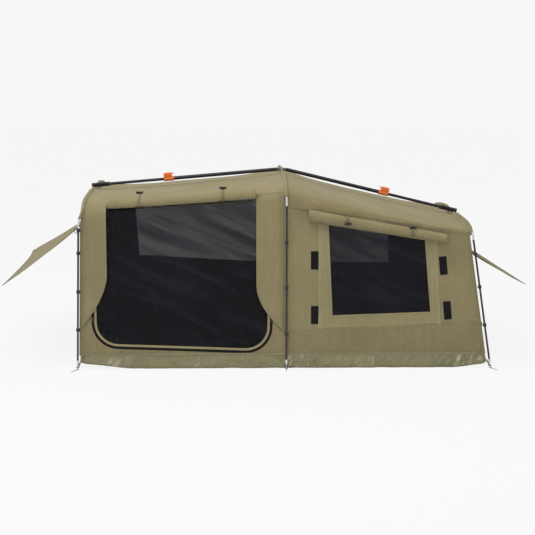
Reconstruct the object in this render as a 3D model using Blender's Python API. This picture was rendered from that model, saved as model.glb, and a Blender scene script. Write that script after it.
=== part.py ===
# Double swag tent: three hoops, a telescopic ridge pole over them, and a canvas body on a PVC tub.
# Metres, +Z up. Origin on the ground under the middle of the tub. -X is the head, +X the foot,
# -Y the side with the door and the window.
from collections import namedtuple
from math import atan2, copysign, cos, exp, floor, pi, radians, sin, sqrt, tan

import bmesh
import bpy
from mathutils import Matrix, Vector

# Overall sizes
LENGTH = 2.10               # between the end hoops' feet
WIDTH = 1.40                # between the two legs of a hoop
GAP = 0.0003                # running clearance between touching pieces

# Hoops: feet, the tops of the straight legs, and the crowns on the ridge line
Hoop = namedtuple("Hoop", "name foot_x leg_top_x leg_top_z crown_x crown_z")
MID_HOOP_X = 0.008
HOOPS = (
    Hoop("head", -LENGTH / 2, -LENGTH / 2 + 0.020, 0.734, -LENGTH / 2 + 0.020, 0.868),
    Hoop("mid", MID_HOOP_X, MID_HOOP_X, 0.842, MID_HOOP_X - 0.004, 0.955),
    Hoop("foot", LENGTH / 2, LENGTH / 2 - 0.106, 0.672, LENGTH / 2 - 0.082, 0.724),
)
HOOP_POWER = 3.4            # exponent of the arches' superellipse
HOOP_DIP = 0.020            # how far the ridge pole presses the arches down, and over which half width
DIP_WIDTH = 0.13
POLE_RADIUS = 0.005
POLE_SIDES = 12
CORNER_STEPS = 5            # chords in each corner of an arch, shared by its sleeve and the cloth
ARCH_STEPS = 18
LEG_JOINT = 0.012           # a leg ends this far below the bend of its arch
FERRULE_LENGTH = 0.028      # spigot of an arch inside the top of its leg
FERRULE_RADIUS = 0.0031
TIP_LENGTH = 0.042          # steel tip at the foot of a leg
TIP_RADIUS = 0.0036
TIP_CLEAR = 0.0015          # height of the tip's end over the ground

# Canvas body
CANVAS = 0.0014             # thickness of the canvas panels
CLOTH_GAP = 0.0006          # between a pole and the cloth under it
LEG_STANDOFF = 0.009        # between a leg and the wall beside it
STANDOFF_STEPS = 3          # arch stations over which the cloth closes up to the pole
WALL_ROWS = 4
BAY_STATIONS = (0.0, 0.04, 0.13, 0.30, 0.50, 0.70, 0.87, 0.96)     # columns of the cloth in each bay
EAVE_STEP = CORNER_STEPS    # arch station of the seam between wall and roof
ROOF_SAG = 0.034
WALL_SAG = 0.008
ROOF_HEM = 0.017            # roof past the end hoops' axes
WALL_END = 0.015            # side walls end this far inside the end hoops
END_WALL_CLEAR = 0.0006     # from the side walls' ends to the end wall's face
END_WALL_EDGE = 0.0022      # end wall's edges inside the side walls and the roof
END_ROWS = 4
END_TOP_ROW = 0.020         # least height of an end wall's last row

# Tub of coated fabric
TUB_HEIGHT = 0.072
TUB_WALL = 0.0022
TUB_CORNER = 0.045

# Foam mattress
MATTRESS_THICKNESS = 0.065
MATTRESS_CLEAR = 0.022      # to the tub's walls
MATTRESS_CROWN = 0.010
MATTRESS_DRAW_IN = 0.012    # how far the sides bulge past the top seam
CHANNEL_COUNT = 6
CHANNEL_DEPTH = 0.005
MATTRESS_STATIONS = 25

# Door in the head bay, by its outer zip line, and the storm flaps over its sides
DOOR_LEFT = -LENGTH / 2 + 0.075
DOOR_RIGHT = MID_HOOP_X - 0.072
DOOR_BOTTOM_LEFT = 0.106
DOOR_BOTTOM_RIGHT = 0.082
DOOR_TOP_LEFT = 0.812
DOOR_TOP_RIGHT = 0.878
DOOR_CORNER = 0.135
ZIP_WIDTH = 0.010
ZIP_THICKNESS = 0.0026
MESH = 0.0010               # thickness of the insect mesh panels
FLAP_LIFT = 0.010           # storm flap's middle over the wall's middle
FLAP_THICKNESS = 0.0014
FLAP_PROFILE = ((0.0, 0.0), (0.13, 0.85), (0.6, 1.0), (1.0, 0.8))    # share of the width, share of the lift
HEAD_FLAP_EDGE = DOOR_LEFT + 0.082      # free edges of the storm flaps
FOOT_FLAP_EDGE = DOOR_RIGHT - 0.080
STORM_OVERLAP = 0.019       # storm flap past the zip line, where it is sewn on
HEAD_STORM_ROWS = 2         # arch stations that the storm flaps reach
FOOT_STORM_ROWS = 1
STORM_FOOT_SHARE = 0.12     # width left at a storm flap's foot
HEAD_STORM_BEND = 0.470     # height at which the free edge starts to curve away
FOOT_STORM_BEND = 0.430
HEAD_STORM_END = 0.287
FOOT_STORM_END = 0.246
SLIDER = (0.013, 0.0042, 0.026)
SLIDER_HEIGHT = 0.262       # of both sliders at rest
SLIDER_TRAVEL_CLEAR = 0.0004
SLIDER_ROUND = 0.0012

# Windows: corners of the openings in x and z
FRONT_WINDOW = ((MID_HOOP_X + 0.233, 0.280), (LENGTH / 2 - 0.316, 0.296),
                (LENGTH / 2 - 0.353, 0.652), (MID_HOOP_X + 0.214, 0.738))
BACK_WINDOW_HEAD = ((-LENGTH / 2 + 0.192, 0.403), (MID_HOOP_X - 0.068, 0.357),
                    (MID_HOOP_X - 0.078, 0.770), (-LENGTH / 2 + 0.172, 0.690))
BACK_WINDOW_FOOT = ((MID_HOOP_X + 0.067, 0.357), (LENGTH / 2 - 0.352, 0.353),
                    (LENGTH / 2 - 0.360, 0.628), (MID_HOOP_X + 0.067, 0.748))
END_WINDOW_MARGIN = 0.16    # from the wall's sides
END_WINDOW_BOTTOM = 0.30
HEAD_WINDOW_TOP = 0.665
FOOT_WINDOW_TOP = 0.540
PANEL_GAP = 0.0006          # between a panel's edge and the edge of its opening

# Rolled-up canvas: its stretch along the wall, and its radius at both ends
DOOR_ROLL = (DOOR_LEFT + 0.089, DOOR_RIGHT - 0.082, 0.0240, 0.0240)
WINDOW_ROLL = (MID_HOOP_X + 0.110, LENGTH / 2 - 0.238, 0.0260, 0.0190)
BACK_ROLL_HEAD = (-LENGTH / 2 + 0.150, MID_HOOP_X - 0.068, 0.0190, 0.0190)
BACK_ROLL_FOOT = (MID_HOOP_X + 0.067, LENGTH / 2 - 0.290, 0.0190, 0.0190)
DOOR_ROLL_STEPS = (1.98, 1.50)      # arch stations that the roll's two ends lie over
WINDOW_ROLL_STEPS = (-0.24, -0.24)
ROLL_CLEAR = 0.0006
ROLL_STATIONS = 19
ROLL_SIDES = 10
ROLL_PINCH = 0.16           # how far a toggle draws the roll in
TOGGLE_REACH = 0.07         # share of the roll to each side of a toggle
TOGGLE_SPOTS = (0.22, 0.77)

# End flaps, pegged out as awnings
FLAP_HALF_WIDTH = 0.60
# Each: height of the hinge, then length and slope below level at the near and at the far corner
HEAD_FLAP = (0.740, (0.530, radians(37.5)), (0.570, radians(31.5)))
FOOT_FLAP = (0.598, (0.348, radians(31.5)), (0.348, radians(31.5)))
END_FLAP_SWEEP = 0.045      # hollow of the free edge
END_FLAP_SAG = 0.014
END_FLAP_THICKNESS = 0.0016
END_FLAP_COLUMNS = 12
END_FLAP_ROWS = 5
HEM_RADIUS = 0.004          # rolled hem at an end flap's hinge

# Sleeves over the arches
SLEEVE_HALF_WIDTH = 0.016
SLEEVE_CLOTH = 0.0014
SLEEVE_CROWN = 1.5          # half width of a sleeve's top, in pole radii
SLEEVE_ENDS = (1, ARCH_STEPS - 1)

# Clip tapes on the walls, with hooks round the legs
TAPE_WIDTH = 0.012
TAPE_THICKNESS = 0.0012
TAPE_BOTTOM = 0.150
HOOK_HEIGHT = 0.015
HOOK_WALL = 0.0030
CLIP_HEIGHTS = {
    "head": (0.207, 0.401, 0.597, 0.712),
    "mid": (0.182, 0.418, 0.648),
    "foot": (0.224, 0.420, 0.587),
}

# Ridge pole
TUBE_RADIUS = 0.0100
TUBE_WALL = 0.0013
TUBE_SIDES = 20
INNER_RADIUS = 0.0080
INNER_WALL = 0.0010
SLIDE_GAP = 0.0007          # radial, between the tubes
HUB_SPREAD = 0.014          # hinge pins from the hub's middle
HUB_BASE = 0.0025
HUB_CHEEK = 0.0030
HUB_WEB = 0.0080
WEB_OVER = 0.002            # web over the cheeks
CHEEK_ROUND = 0.004
PIN_HEAD = 0.0012           # hinge pins past the cheeks
PIN_RADIUS = 0.0022
PIN_GAP = 0.0004
TONGUE = 0.0050             # thickness of an arm's hinge tongue
TONGUE_RADIUS = 0.0068
TONGUE_HALF_HEIGHT = 0.0065
SHOULDER = 0.0120           # arm's tube starts this far from its pin
PLUG_LENGTH = 0.020         # plug behind the tongue
TUBE_CHAMFER = 0.0008
LOCK_DISTANCE = {"head": 0.622, "foot": 0.580}     # lock clamp's middle from the pin
LOCK_LENGTH = 0.042
LOCK_WIDTH = 0.030
LOCK_BOTTOM = 0.0160        # under the arm's axis
LOCK_TOP = 0.0140           # over it
LOCK_STEP = 0.014           # depth of the narrow end round the inner tube
LOCK_ROUND = 0.005
LEVER_PIVOT = (0.0110, 0.0210)    # outwards from the clamp's middle, and over the axis
LEVER_CAM = 0.0058
LEVER_WIDTH = 0.0130
LEVER_LENGTH = 0.052
LEVER_THICKNESS = 0.0045
LEVER_RISE = 0.004          # lever's tip over its root
EAR_THICKNESS = 0.0035
EAR_SUNK = 0.002
INNER_OVERLAP = 0.110       # inner tube inside the outer tube at rest
FITTING_RADIUS = 0.0120
FITTING_LENGTH = 0.100
FITTING_SOCKET = 0.055
FITTING_OVERHANG = 0.022    # past the end hoop's crown
FITTING_CHAMFER = 0.0018
LUG_LENGTH = 0.010
LUG_WIDTH = 0.014
LUG_CLEAR = 0.003           # between the lug and the sleeve
LUG_DROP = 0.0065           # below the fitting

# Steel wire pegs: an eye round the foot of each leg and a shank lying outwards
PEG_WIRE = 0.0019
PEG_EYE_GAP = 0.0003        # between the eye and the leg's tip
PEG_SHANK = 0.058
PEG_LIFT = 0.0006
PEG_POINTS = 9

# Colours as sRGB hex, with roughness and metallic value
CANVAS_LOOK = ("8a8260", 0.92, 0.0)
ROOF_LOOK = ("a1986f", 0.92, 0.0)
TUB_LOOK = ("8a876a", 0.45, 0.0)
MESH_LOOK = ("1b1b20", 0.95, 0.0)
ZIP_LOOK = ("1f1d1c", 0.60, 0.0)
FOAM_LOOK = ("77726a", 0.95, 0.0)
POLE_LOOK = ("2b2b2f", 0.45, 0.0)
ALLOY_LOOK = ("b9bcc0", 0.32, 1.0)
TUBE_LOOK = ("1c1b20", 0.38, 0.0)
ORANGE_LOOK = ("e8722c", 0.40, 0.0)
STEEL_LOOK = ("a9abac", 0.30, 1.0)
CLIP_LOOK = ("17171a", 0.50, 0.0)


# Scene and materials

def clear_scene():
    for thing in list(bpy.data.objects):
        bpy.data.objects.remove(thing, do_unlink=True)


def srgb_to_linear(value):
    return value / 12.92 if value <= 0.04045 else ((value + 0.055) / 1.055) ** 2.4


def make_material(name, look):
    colour, roughness, metallic = look
    channels = [srgb_to_linear(int(colour[i:i + 2], 16) / 255) for i in (0, 2, 4)]
    material = bpy.data.materials.new(name)
    material.use_nodes = True
    shader = material.node_tree.nodes["Principled BSDF"]
    shader.inputs["Base Color"].default_value = (*channels, 1.0)
    shader.inputs["Roughness"].default_value = roughness
    shader.inputs["Metallic"].default_value = metallic
    return material


# Making and combining meshes

def add_object(name, bm, look=None, smooth=False):
    bmesh.ops.recalc_face_normals(bm, faces=bm.faces)
    mesh = bpy.data.meshes.new(name)
    bm.to_mesh(mesh)
    bm.free()
    if smooth:
        mesh.shade_smooth()
        mesh.set_sharp_from_angle(angle=radians(35))
    thing = bpy.data.objects.new(name, mesh)
    bpy.context.collection.objects.link(thing)
    if look:
        mesh.materials.append(make_material(name, look))
    return thing


def hide_guide(thing):
    thing.hide_render = True
    thing.display_type = "WIRE"
    return thing


def combine(thing, other, operation):
    """Boolean of two objects; the second becomes a hidden guide."""
    modifier = thing.modifiers.new(operation.title(), "BOOLEAN")
    modifier.operation = operation
    modifier.solver = "EXACT"
    modifier.object = hide_guide(other)
    return thing


def box_mesh(low, high):
    bm = bmesh.new()
    size = [b - a for a, b in zip(low, high)]
    middle = [(a + b) / 2 for a, b in zip(low, high)]
    bmesh.ops.create_cube(bm, size=1.0, matrix=Matrix.Translation(middle) @ Matrix.Diagonal((*size, 1.0)))
    return bm


def rod_mesh(radius, start, end, sides=16):
    """Cylinder between two points."""
    start, end = Vector(start), Vector(end)
    turn = (end - start).to_track_quat("Z", "Y").to_matrix().to_4x4()
    bm = bmesh.new()
    bmesh.ops.create_cone(bm, cap_ends=True, segments=sides, radius1=radius, radius2=radius,
                          depth=(end - start).length, matrix=Matrix.Translation((start + end) / 2) @ turn)
    return bm


def loft_mesh(rings):
    """Skin over rings of equal point counts, with a cap at each end."""
    bm = bmesh.new()
    loops = [[bm.verts.new(point) for point in ring] for ring in rings]
    for near, far in zip(loops, loops[1:]):
        for i in range(len(near)):
            j = (i + 1) % len(near)
            bm.faces.new((near[i], near[j], far[j], far[i]))
    bm.faces.new(loops[0])
    bm.faces.new(loops[-1])
    return bm


def lathe_mesh(profile, sides, matrix=None):
    """Closed outline of (radius, height) points turned about local Z. A point on the axis is welded."""
    bm = bmesh.new()
    loop = [bm.verts.new((radius, 0.0, height)) for radius, height in profile]
    edges = [bm.edges.new((loop[i], loop[i + 1])) for i in range(len(loop) - 1)]
    if profile[0][0] > 0.0:
        edges.append(bm.edges.new((loop[-1], loop[0])))
    bmesh.ops.spin(bm, geom=loop + edges, angle=2 * pi, steps=sides, axis=(0, 0, 1), cent=(0, 0, 0),
                   use_merge=True, use_duplicate=False)
    bmesh.ops.remove_doubles(bm, verts=bm.verts, dist=1e-6)
    if matrix:
        bmesh.ops.transform(bm, matrix=matrix, verts=bm.verts)
    return bm


def grid_mesh(columns, rows, place):
    """Open sheet whose corner (i, j) goes to place(i, j)."""
    bm = bmesh.new()
    bmesh.ops.create_grid(bm, x_segments=columns, y_segments=rows, size=0.5)
    for vertex in bm.verts:
        i = round((vertex.co.x + 0.5) * columns)
        j = round((vertex.co.y + 0.5) * rows)
        vertex.co = place(i, j)
    return bm


def add_sheet(name, bm, thickness, look):
    """Sheet thickened evenly to both sides."""
    thing = add_object(name, bm, look, smooth=True)
    solid = thing.modifiers.new("Cloth", "SOLIDIFY")
    solid.thickness = thickness
    solid.offset = 0.0
    solid.use_even_offset = True
    return thing


def prism(name, outline, y_low, y_high):
    """Cutter: an outline in x and z, carried along y."""
    rings = [[(x, y, z) for x, z in outline] for y in (y_low, y_high)]
    return add_object(name, loft_mesh(rings))


# The hoops and the surface of the canvas

def arch_axis(hoop, step):
    """Point of a hoop's axis at a station of its arch, from the near leg (0) to the far one.
    Stations are even in angle round the corners and even in width over the top."""
    from_leg = min(step, ARCH_STEPS - step)
    corner = cos(pi / 4) ** (2 / HOOP_POWER)
    if from_leg <= CORNER_STEPS:
        across = cos(pi / 4 * from_leg / CORNER_STEPS) ** (2 / HOOP_POWER)
    else:
        across = corner * (ARCH_STEPS / 2 - from_leg) / (ARCH_STEPS / 2 - CORNER_STEPS)
    rise = (1 - across ** HOOP_POWER) ** (1 / HOOP_POWER)
    side = -1 if step < ARCH_STEPS / 2 else 1
    y = side * WIDTH / 2 * across
    z = hoop.leg_top_z + (hoop.crown_z + HOOP_DIP - hoop.leg_top_z) * rise
    z -= HOOP_DIP * exp(-(y / DIP_WIDTH) ** 2)
    return Vector((hoop.leg_top_x + (hoop.crown_x - hoop.leg_top_x) * rise, y, z))


def leg_axis(hoop, height, side):
    share = height / hoop.leg_top_z
    return Vector((hoop.foot_x + (hoop.leg_top_x - hoop.foot_x) * share, side * WIDTH / 2, height))


def arch_normal(hoop, step):
    """Outward normal of the arch in its own plane, lengthened to keep chords parallel."""
    here = arch_axis(hoop, step)
    before = here - arch_axis(hoop, step - 1) if step > 0 else Vector((0, 0, 1))
    after = arch_axis(hoop, step + 1) - here if step < ARCH_STEPS else Vector((0, 0, -1))
    normals = []
    for run in (before, after):
        normals.append(Vector((0, -run.z, run.y)).normalized())
    middle = (normals[0] + normals[1]).normalized()
    return middle / max(middle.dot(normals[0]), 0.5)


def smooth_step(share):
    share = min(max(share, 0.0), 1.0)
    return share * share * (3 - 2 * share)


def section_points(hoop, depth):
    """Section of the canvas at a hoop, from the tub's near rim over the crown to the far rim.
    depth is how far it lies inside the poles' surfaces under the arch."""
    points = []
    standoff = LEG_STANDOFF - CLOTH_GAP
    for row in range(WALL_ROWS):
        height = TUB_HEIGHT + (hoop.leg_top_z - TUB_HEIGHT) * row / WALL_ROWS
        axis = leg_axis(hoop, height, -1)
        points.append(axis + Vector((0, POLE_RADIUS + standoff + depth, 0)))
    for step in range(ARCH_STEPS + 1):
        axis = arch_axis(hoop, step)
        from_leg = min(step, ARCH_STEPS - step)
        extra = standoff * (1 - smooth_step(from_leg / STANDOFF_STEPS))
        points.append(axis - arch_normal(hoop, step) * (POLE_RADIUS + depth + extra))
    for point in reversed(points[:WALL_ROWS]):
        points.append(Vector((point.x, -point.y, point.z)))
    return points


def canvas_depth(lift=0.0):
    return CLOTH_GAP + CANVAS / 2 - lift


def canvas_sections(lift=0.0):
    return [section_points(hoop, canvas_depth(lift)) for hoop in HOOPS]


SECTION_ROWS = 2 * WALL_ROWS + ARCH_STEPS
EAVE_ROW = WALL_ROWS + EAVE_STEP


def bay_hollow(share):
    """Share of the full sag at a place in a bay: full along the middle, steep near the hoops."""
    if not 0.0 < share < 1.0:
        return 0.0
    stations = BAY_STATIONS + (1.0,)
    index = max(i for i, station in enumerate(stations) if station <= share)
    low, high = stations[index], stations[index + 1]
    at_low, at_high = [1 - abs(2 * station - 1) ** 4 for station in (low, high)]
    return at_low + (at_high - at_low) * (share - low) / (high - low)


def canvas_point(sections, along, row):
    """Point of the cloth: along runs 0 to 2 over the two bays and may pass the end hoops a little."""
    bay = 0 if along < 1.0 else 1
    share = along - bay
    near, far = sections[bay][row], sections[bay + 1][row]
    point = near.lerp(far, share)
    hollow = bay_hollow(share)
    if WALL_ROWS <= row <= WALL_ROWS + ARCH_STEPS:
        rise = sin(pi * (row - WALL_ROWS) / ARCH_STEPS)
        inward = Vector((0, -copysign(1 - rise, point.y), -rise)).normalized()
        depth = WALL_SAG + (ROOF_SAG - WALL_SAG) * rise
    else:
        level = row if row < WALL_ROWS else SECTION_ROWS - row
        inward = Vector((0, -copysign(1, point.y), 0))
        depth = WALL_SAG * sin(pi / 2 * level / WALL_ROWS)
    return point + inward * depth * hollow


def along_at(sections, x, row):
    """Share along the bays at which a row of the cloth has the given x."""
    for bay in (0, 1):
        near, far = sections[bay][row].x, sections[bay + 1][row].x
        if x <= far or bay == 1:
            return bay + (x - near) / (far - near)


BAY_COLUMNS = (*BAY_STATIONS, *(1 + station for station in BAY_STATIONS), 2.0)
LAST_COLUMN = len(BAY_COLUMNS) - 1


def wall_along(sections, index, row):
    """Column of a side wall: the first and last stand clear of the end hoops."""
    if index == 0:
        return along_at(sections, sections[0][row].x + WALL_END, row)
    if index == LAST_COLUMN:
        return along_at(sections, sections[2][row].x - WALL_END, row)
    return BAY_COLUMNS[index]


def side_wall_mesh(side, lift=0.0):
    sections = canvas_sections(lift)

    def place(i, j):
        point = canvas_point(sections, wall_along(sections, i, j), j)
        return Vector((point.x, -side * point.y, point.z))

    return grid_mesh(LAST_COLUMN, EAVE_ROW, place)


def row_point(x, row, lift):
    """Point of the near wall at an x and a row, lifted off the middle of its cloth."""
    sections = canvas_sections(lift)
    low = min(floor(row), EAVE_ROW - 1)
    below, above = [canvas_point(sections, along_at(sections, x, r), r) for r in (low, low + 1)]
    return below.lerp(above, row - low)


def row_at(x, height):
    """Row of the near wall, as a share between whole rows, at an x and a height."""
    low = 0
    while row_point(x, low + 1, 0.0).z < height and low < EAVE_ROW - 1:
        low += 1
    below, above = row_point(x, low, 0.0).z, row_point(x, low + 1, 0.0).z
    return low + (height - below) / (above - below)


# Outlines of doors and windows

def arc_points(centre, radius, start, end, count=6):
    return [(centre[0] + radius * cos(start + (end - start) * i / count),
             centre[1] + radius * sin(start + (end - start) * i / count)) for i in range(count + 1)]


def door_outline(inset, top_up=0.0):
    """Door opening: round bottom corners, and a bottom and a top that slope."""
    left, right = DOOR_LEFT + inset, DOOR_RIGHT - inset
    radius = DOOR_CORNER - inset
    outline = arc_points((left + radius, DOOR_BOTTOM_LEFT + DOOR_CORNER), radius, pi, 1.5 * pi)
    outline += arc_points((right - radius, DOOR_BOTTOM_RIGHT + DOOR_CORNER), radius, 1.5 * pi, 2 * pi)
    for x in (right, left):
        share = (x - DOOR_LEFT) / (DOOR_RIGHT - DOOR_LEFT)
        outline.append((x, DOOR_TOP_LEFT + (DOOR_TOP_RIGHT - DOOR_TOP_LEFT) * share + top_up))
    return outline


def shrink_outline(outline, inset):
    """Outline with straight sides and every side moved in by the same distance."""
    count = len(outline)
    moved = []
    for i, (x, z) in enumerate(outline):
        before, after = outline[i - 1], outline[(i + 1) % count]
        first = Vector((x - before[0], z - before[1])).normalized()
        second = Vector((after[0] - x, after[1] - z)).normalized()
        normal_a, normal_b = Vector((-first.y, first.x)), Vector((-second.y, second.x))
        middle = (normal_a + normal_b).normalized()
        step = middle * inset / middle.dot(normal_a)
        moved.append((x + step.x, z + step.y))
    return moved


def near_side(name, outline):
    return prism(name, outline, -WIDTH, -WIDTH / 8)


def far_side(name, outline):
    return prism(name, outline, WIDTH / 8, WIDTH)


# Tub and mattress

def tub_half_width():
    return WIDTH / 2 - POLE_RADIUS - LEG_STANDOFF


def tub_end(hoop_index, height):
    """Outer face of the tub's end at a height: in line with the side walls' ends."""
    return leg_axis(HOOPS[hoop_index], height, -1).x + copysign(WALL_END, end_wall_shift(hoop_index))


def add_tub():
    """Floor with upstanding walls, one skin with round corners."""
    half_y = tub_half_width()
    rim = TUB_HEIGHT - GAP
    bm = box_mesh((tub_end(0, 0), -half_y, 0), (tub_end(2, 0), half_y, rim))
    for vertex in bm.verts:
        if vertex.co.z > rim / 2:
            vertex.co.x = tub_end(0 if vertex.co.x < 0 else 2, rim)
    uprights = [edge for edge in bm.edges if abs(edge.verts[0].co.z - edge.verts[1].co.z) > GAP]
    bmesh.ops.bevel(bm, geom=uprights, offset=TUB_CORNER, segments=4, profile=0.5, affect="EDGES",
                    material=-1)
    top = [face for face in bm.faces if face.normal.z > 0.9]
    bmesh.ops.delete(bm, geom=top, context="FACES_ONLY")
    thing = add_object("base_tub", bm, TUB_LOOK)
    solid = thing.modifiers.new("Skin", "SOLIDIFY")
    solid.thickness = TUB_WALL
    solid.offset = -1.0
    solid.use_even_offset = True


def add_mattress():
    """Foam pad: crowned top with channels across it, and sides that bulge between the seams."""
    room = tub_end(2, MATTRESS_THICKNESS) - tub_end(0, MATTRESS_THICKNESS)
    middle = (tub_end(2, MATTRESS_THICKNESS) + tub_end(0, MATTRESS_THICKNESS)) / 2
    half_x = room / 2 - TUB_WALL - MATTRESS_CLEAR
    half_y = tub_half_width() - TUB_WALL - MATTRESS_CLEAR
    low = TUB_WALL + GAP
    rings = []
    for station in range(MATTRESS_STATIONS):
        share = 2 * station / (MATTRESS_STATIONS - 1) - 1
        ends = (1 - share ** 8)
        wave = abs(cos(pi * CHANNEL_COUNT * (share + 1) / 2))
        channel = CHANNEL_DEPTH * (1 - wave) ** 2 if abs(share) < 0.99 else 0.0
        inset = MATTRESS_DRAW_IN * (1 - ends)
        seam_x = middle + share * (half_x - inset)
        side_x = middle + share * half_x
        ring = [(seam_x, -half_y + MATTRESS_DRAW_IN, low), (seam_x, half_y - MATTRESS_DRAW_IN, low)]
        for level in (0.35, 0.65):
            ring.append((side_x, half_y - inset, low + MATTRESS_THICKNESS * level))
        for across in (1.0, 0.75, 0.5, 0.25, 0.0, -0.25, -0.5, -0.75, -1.0):
            dome = MATTRESS_CROWN * (1 - across ** 4) * ends
            groove = channel * (1 - across ** 8)
            height = low + MATTRESS_THICKNESS - MATTRESS_CROWN + dome - groove
            ring.append((seam_x, across * (half_y - MATTRESS_DRAW_IN), height))
        for level in (0.65, 0.35):
            ring.append((side_x, -half_y + inset, low + MATTRESS_THICKNESS * level))
        rings.append(ring)
    add_object("mattress", loft_mesh(rings), FOAM_LOOK, smooth=True)


# Canvas roof and walls

def add_roof():
    sections = canvas_sections()

    def place(i, j):
        row = EAVE_ROW + j
        along = BAY_COLUMNS[i]
        if i == 0:
            along = along_at(sections, sections[0][row].x - ROOF_HEM, row)
        if i == LAST_COLUMN:
            along = along_at(sections, sections[2][row].x + ROOF_HEM, row)
        point = canvas_point(sections, along, row)
        if j in (0, SECTION_ROWS - 2 * EAVE_ROW):
            inner = canvas_point(sections, along, row + (1 if j == 0 else -1))
            point = point + (inner - point).normalized() * GAP
        return point

    add_sheet("roof", grid_mesh(LAST_COLUMN, SECTION_ROWS - 2 * EAVE_ROW, place), CANVAS, ROOF_LOOK)


def add_side_walls():
    front = add_sheet("front_wall", side_wall_mesh(-1), CANVAS, CANVAS_LOOK)
    combine(front, near_side("door_cutter", door_outline(0.0)), "DIFFERENCE")
    combine(front, near_side("front_window_cutter", FRONT_WINDOW), "DIFFERENCE")
    back = add_sheet("back_wall", side_wall_mesh(1), CANVAS, CANVAS_LOOK)
    combine(back, far_side("back_window_head_cutter", BACK_WINDOW_HEAD), "DIFFERENCE")
    combine(back, far_side("back_window_foot_cutter", BACK_WINDOW_FOOT), "DIFFERENCE")


def end_wall_shift(hoop_index):
    """From an end hoop's plane to the middle of the wall inside it."""
    inward = 1 if hoop_index == 0 else -1
    return inward * (WALL_END + CANVAS / 2 + END_WALL_CLEAR)


def end_wall_x(hoop_index, height):
    """Middle of an end wall at a height: it follows the legs, and over them the arch's plane."""
    hoop = HOOPS[hoop_index]
    if height <= hoop.leg_top_z:
        return leg_axis(hoop, height, -1).x + end_wall_shift(hoop_index)
    rise = (height - hoop.leg_top_z) / (hoop.crown_z + HOOP_DIP - hoop.leg_top_z)
    return hoop.leg_top_x + (hoop.crown_x - hoop.leg_top_x) * rise + end_wall_shift(hoop_index)


def end_wall_mesh(hoop_index):
    """Wall inside an end hoop: its columns stand under the arch's stations, and its last row but one
    is level with the leg tops."""
    sections = canvas_sections(-(CANVAS / 2 + END_WALL_EDGE))
    shift = end_wall_shift(hoop_index)

    def place(i, j):
        row = WALL_ROWS + i
        top = canvas_point(sections, along_at(sections, sections[hoop_index][row].x + shift, row), row)
        if j == END_ROWS:
            return top
        level = min(HOOPS[hoop_index].leg_top_z, top.z - END_TOP_ROW)
        height = TUB_HEIGHT + (level - TUB_HEIGHT) * j / (END_ROWS - 1)
        return Vector((end_wall_x(hoop_index, height), top.y, height))

    return grid_mesh(ARCH_STEPS, END_ROWS, place)


def add_end_wall(name, hoop_index, window_top):
    hoop = HOOPS[hoop_index]
    wall = add_sheet(name + "_wall", end_wall_mesh(hoop_index), CANVAS, CANVAS_LOOK)
    half = tub_half_width() - END_WINDOW_MARGIN
    window = [(-half, END_WINDOW_BOTTOM), (half, END_WINDOW_BOTTOM), (half, window_top), (-half, window_top)]
    reach = sorted((hoop.foot_x * 0.8, hoop.foot_x * 1.2))
    combine(wall, end_prism(name + "_window_cutter", window, reach), "DIFFERENCE")
    mesh = add_sheet(name + "_window_mesh", end_wall_mesh(hoop_index), MESH, MESH_LOOK)
    combine(mesh, end_prism(name + "_mesh_cutter", shrink_outline(window, PANEL_GAP), reach), "INTERSECT")


def end_prism(name, outline, reach):
    rings = [[(x, y, z) for y, z in outline] for x in reach]
    return add_object(name, loft_mesh(rings))


# Door, its zip and storm flaps, and the windows

def add_door():
    zip_inner = ZIP_WIDTH + GAP
    outer_edge = door_outline(GAP, -GAP)
    inner_edge = door_outline(zip_inner, -GAP)
    outline = outer_edge[-1:] + outer_edge[:-1] + inner_edge[-2::-1] + inner_edge[-1:]
    band = add_sheet("door_zip", side_wall_mesh(-1), ZIP_THICKNESS, ZIP_LOOK)
    combine(band, near_side("zip_cutter", outline), "INTERSECT")
    mesh = add_sheet("door_mesh", side_wall_mesh(-1), MESH, MESH_LOOK)
    combine(mesh, near_side("door_mesh_cutter", door_outline(zip_inner + GAP, -GAP)), "INTERSECT")


def storm_share(bend, end, height):
    """Width of a storm flap at a height: full above the bend, and below it curving back to the seam."""
    if height >= bend:
        return 1.0
    fall = min((bend - height) / (bend - end), 1.0)
    return max(sqrt(1 - fall ** 2.2), STORM_FOOT_SHARE)


def add_storm_flap(name, sewn_x, edge_x, bend, end, top_rows):
    """Loose strip over a side of the door's zip: sewn to the wall along one edge only."""
    rows = [row_at(sewn_x, end + rise) for rise in (0.0, 0.006, 0.020, 0.045, 0.080)]
    rows += [row_at(sewn_x, bend), row_at(sewn_x, bend + 0.12), *range(WALL_ROWS, WALL_ROWS + top_rows + 1)]
    rings = []
    for row in rows:
        share_out = storm_share(bend, end, row_point(sewn_x, row, 0.0).z)
        inner, outer = [], []
        for share, rise in FLAP_PROFILE:
            x = sewn_x + (edge_x - sewn_x) * share_out * share
            lift = CANVAS / 2 + CLOTH_GAP + (FLAP_LIFT - CANVAS / 2) * rise
            inner.append(row_point(x, row, lift))
            outer.append(row_point(x, row, lift + FLAP_THICKNESS))
        rings.append(inner + outer[::-1])
    add_object(name, loft_mesh(rings), CANVAS_LOOK, smooth=True)


def add_storm_flaps():
    add_storm_flap("storm_flap_head", DOOR_LEFT - STORM_OVERLAP, HEAD_FLAP_EDGE,
                   HEAD_STORM_BEND, HEAD_STORM_END, HEAD_STORM_ROWS)
    add_storm_flap("storm_flap_foot", DOOR_RIGHT + STORM_OVERLAP, FOOT_FLAP_EDGE,
                   FOOT_STORM_BEND, FOOT_STORM_END, FOOT_STORM_ROWS)


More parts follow.
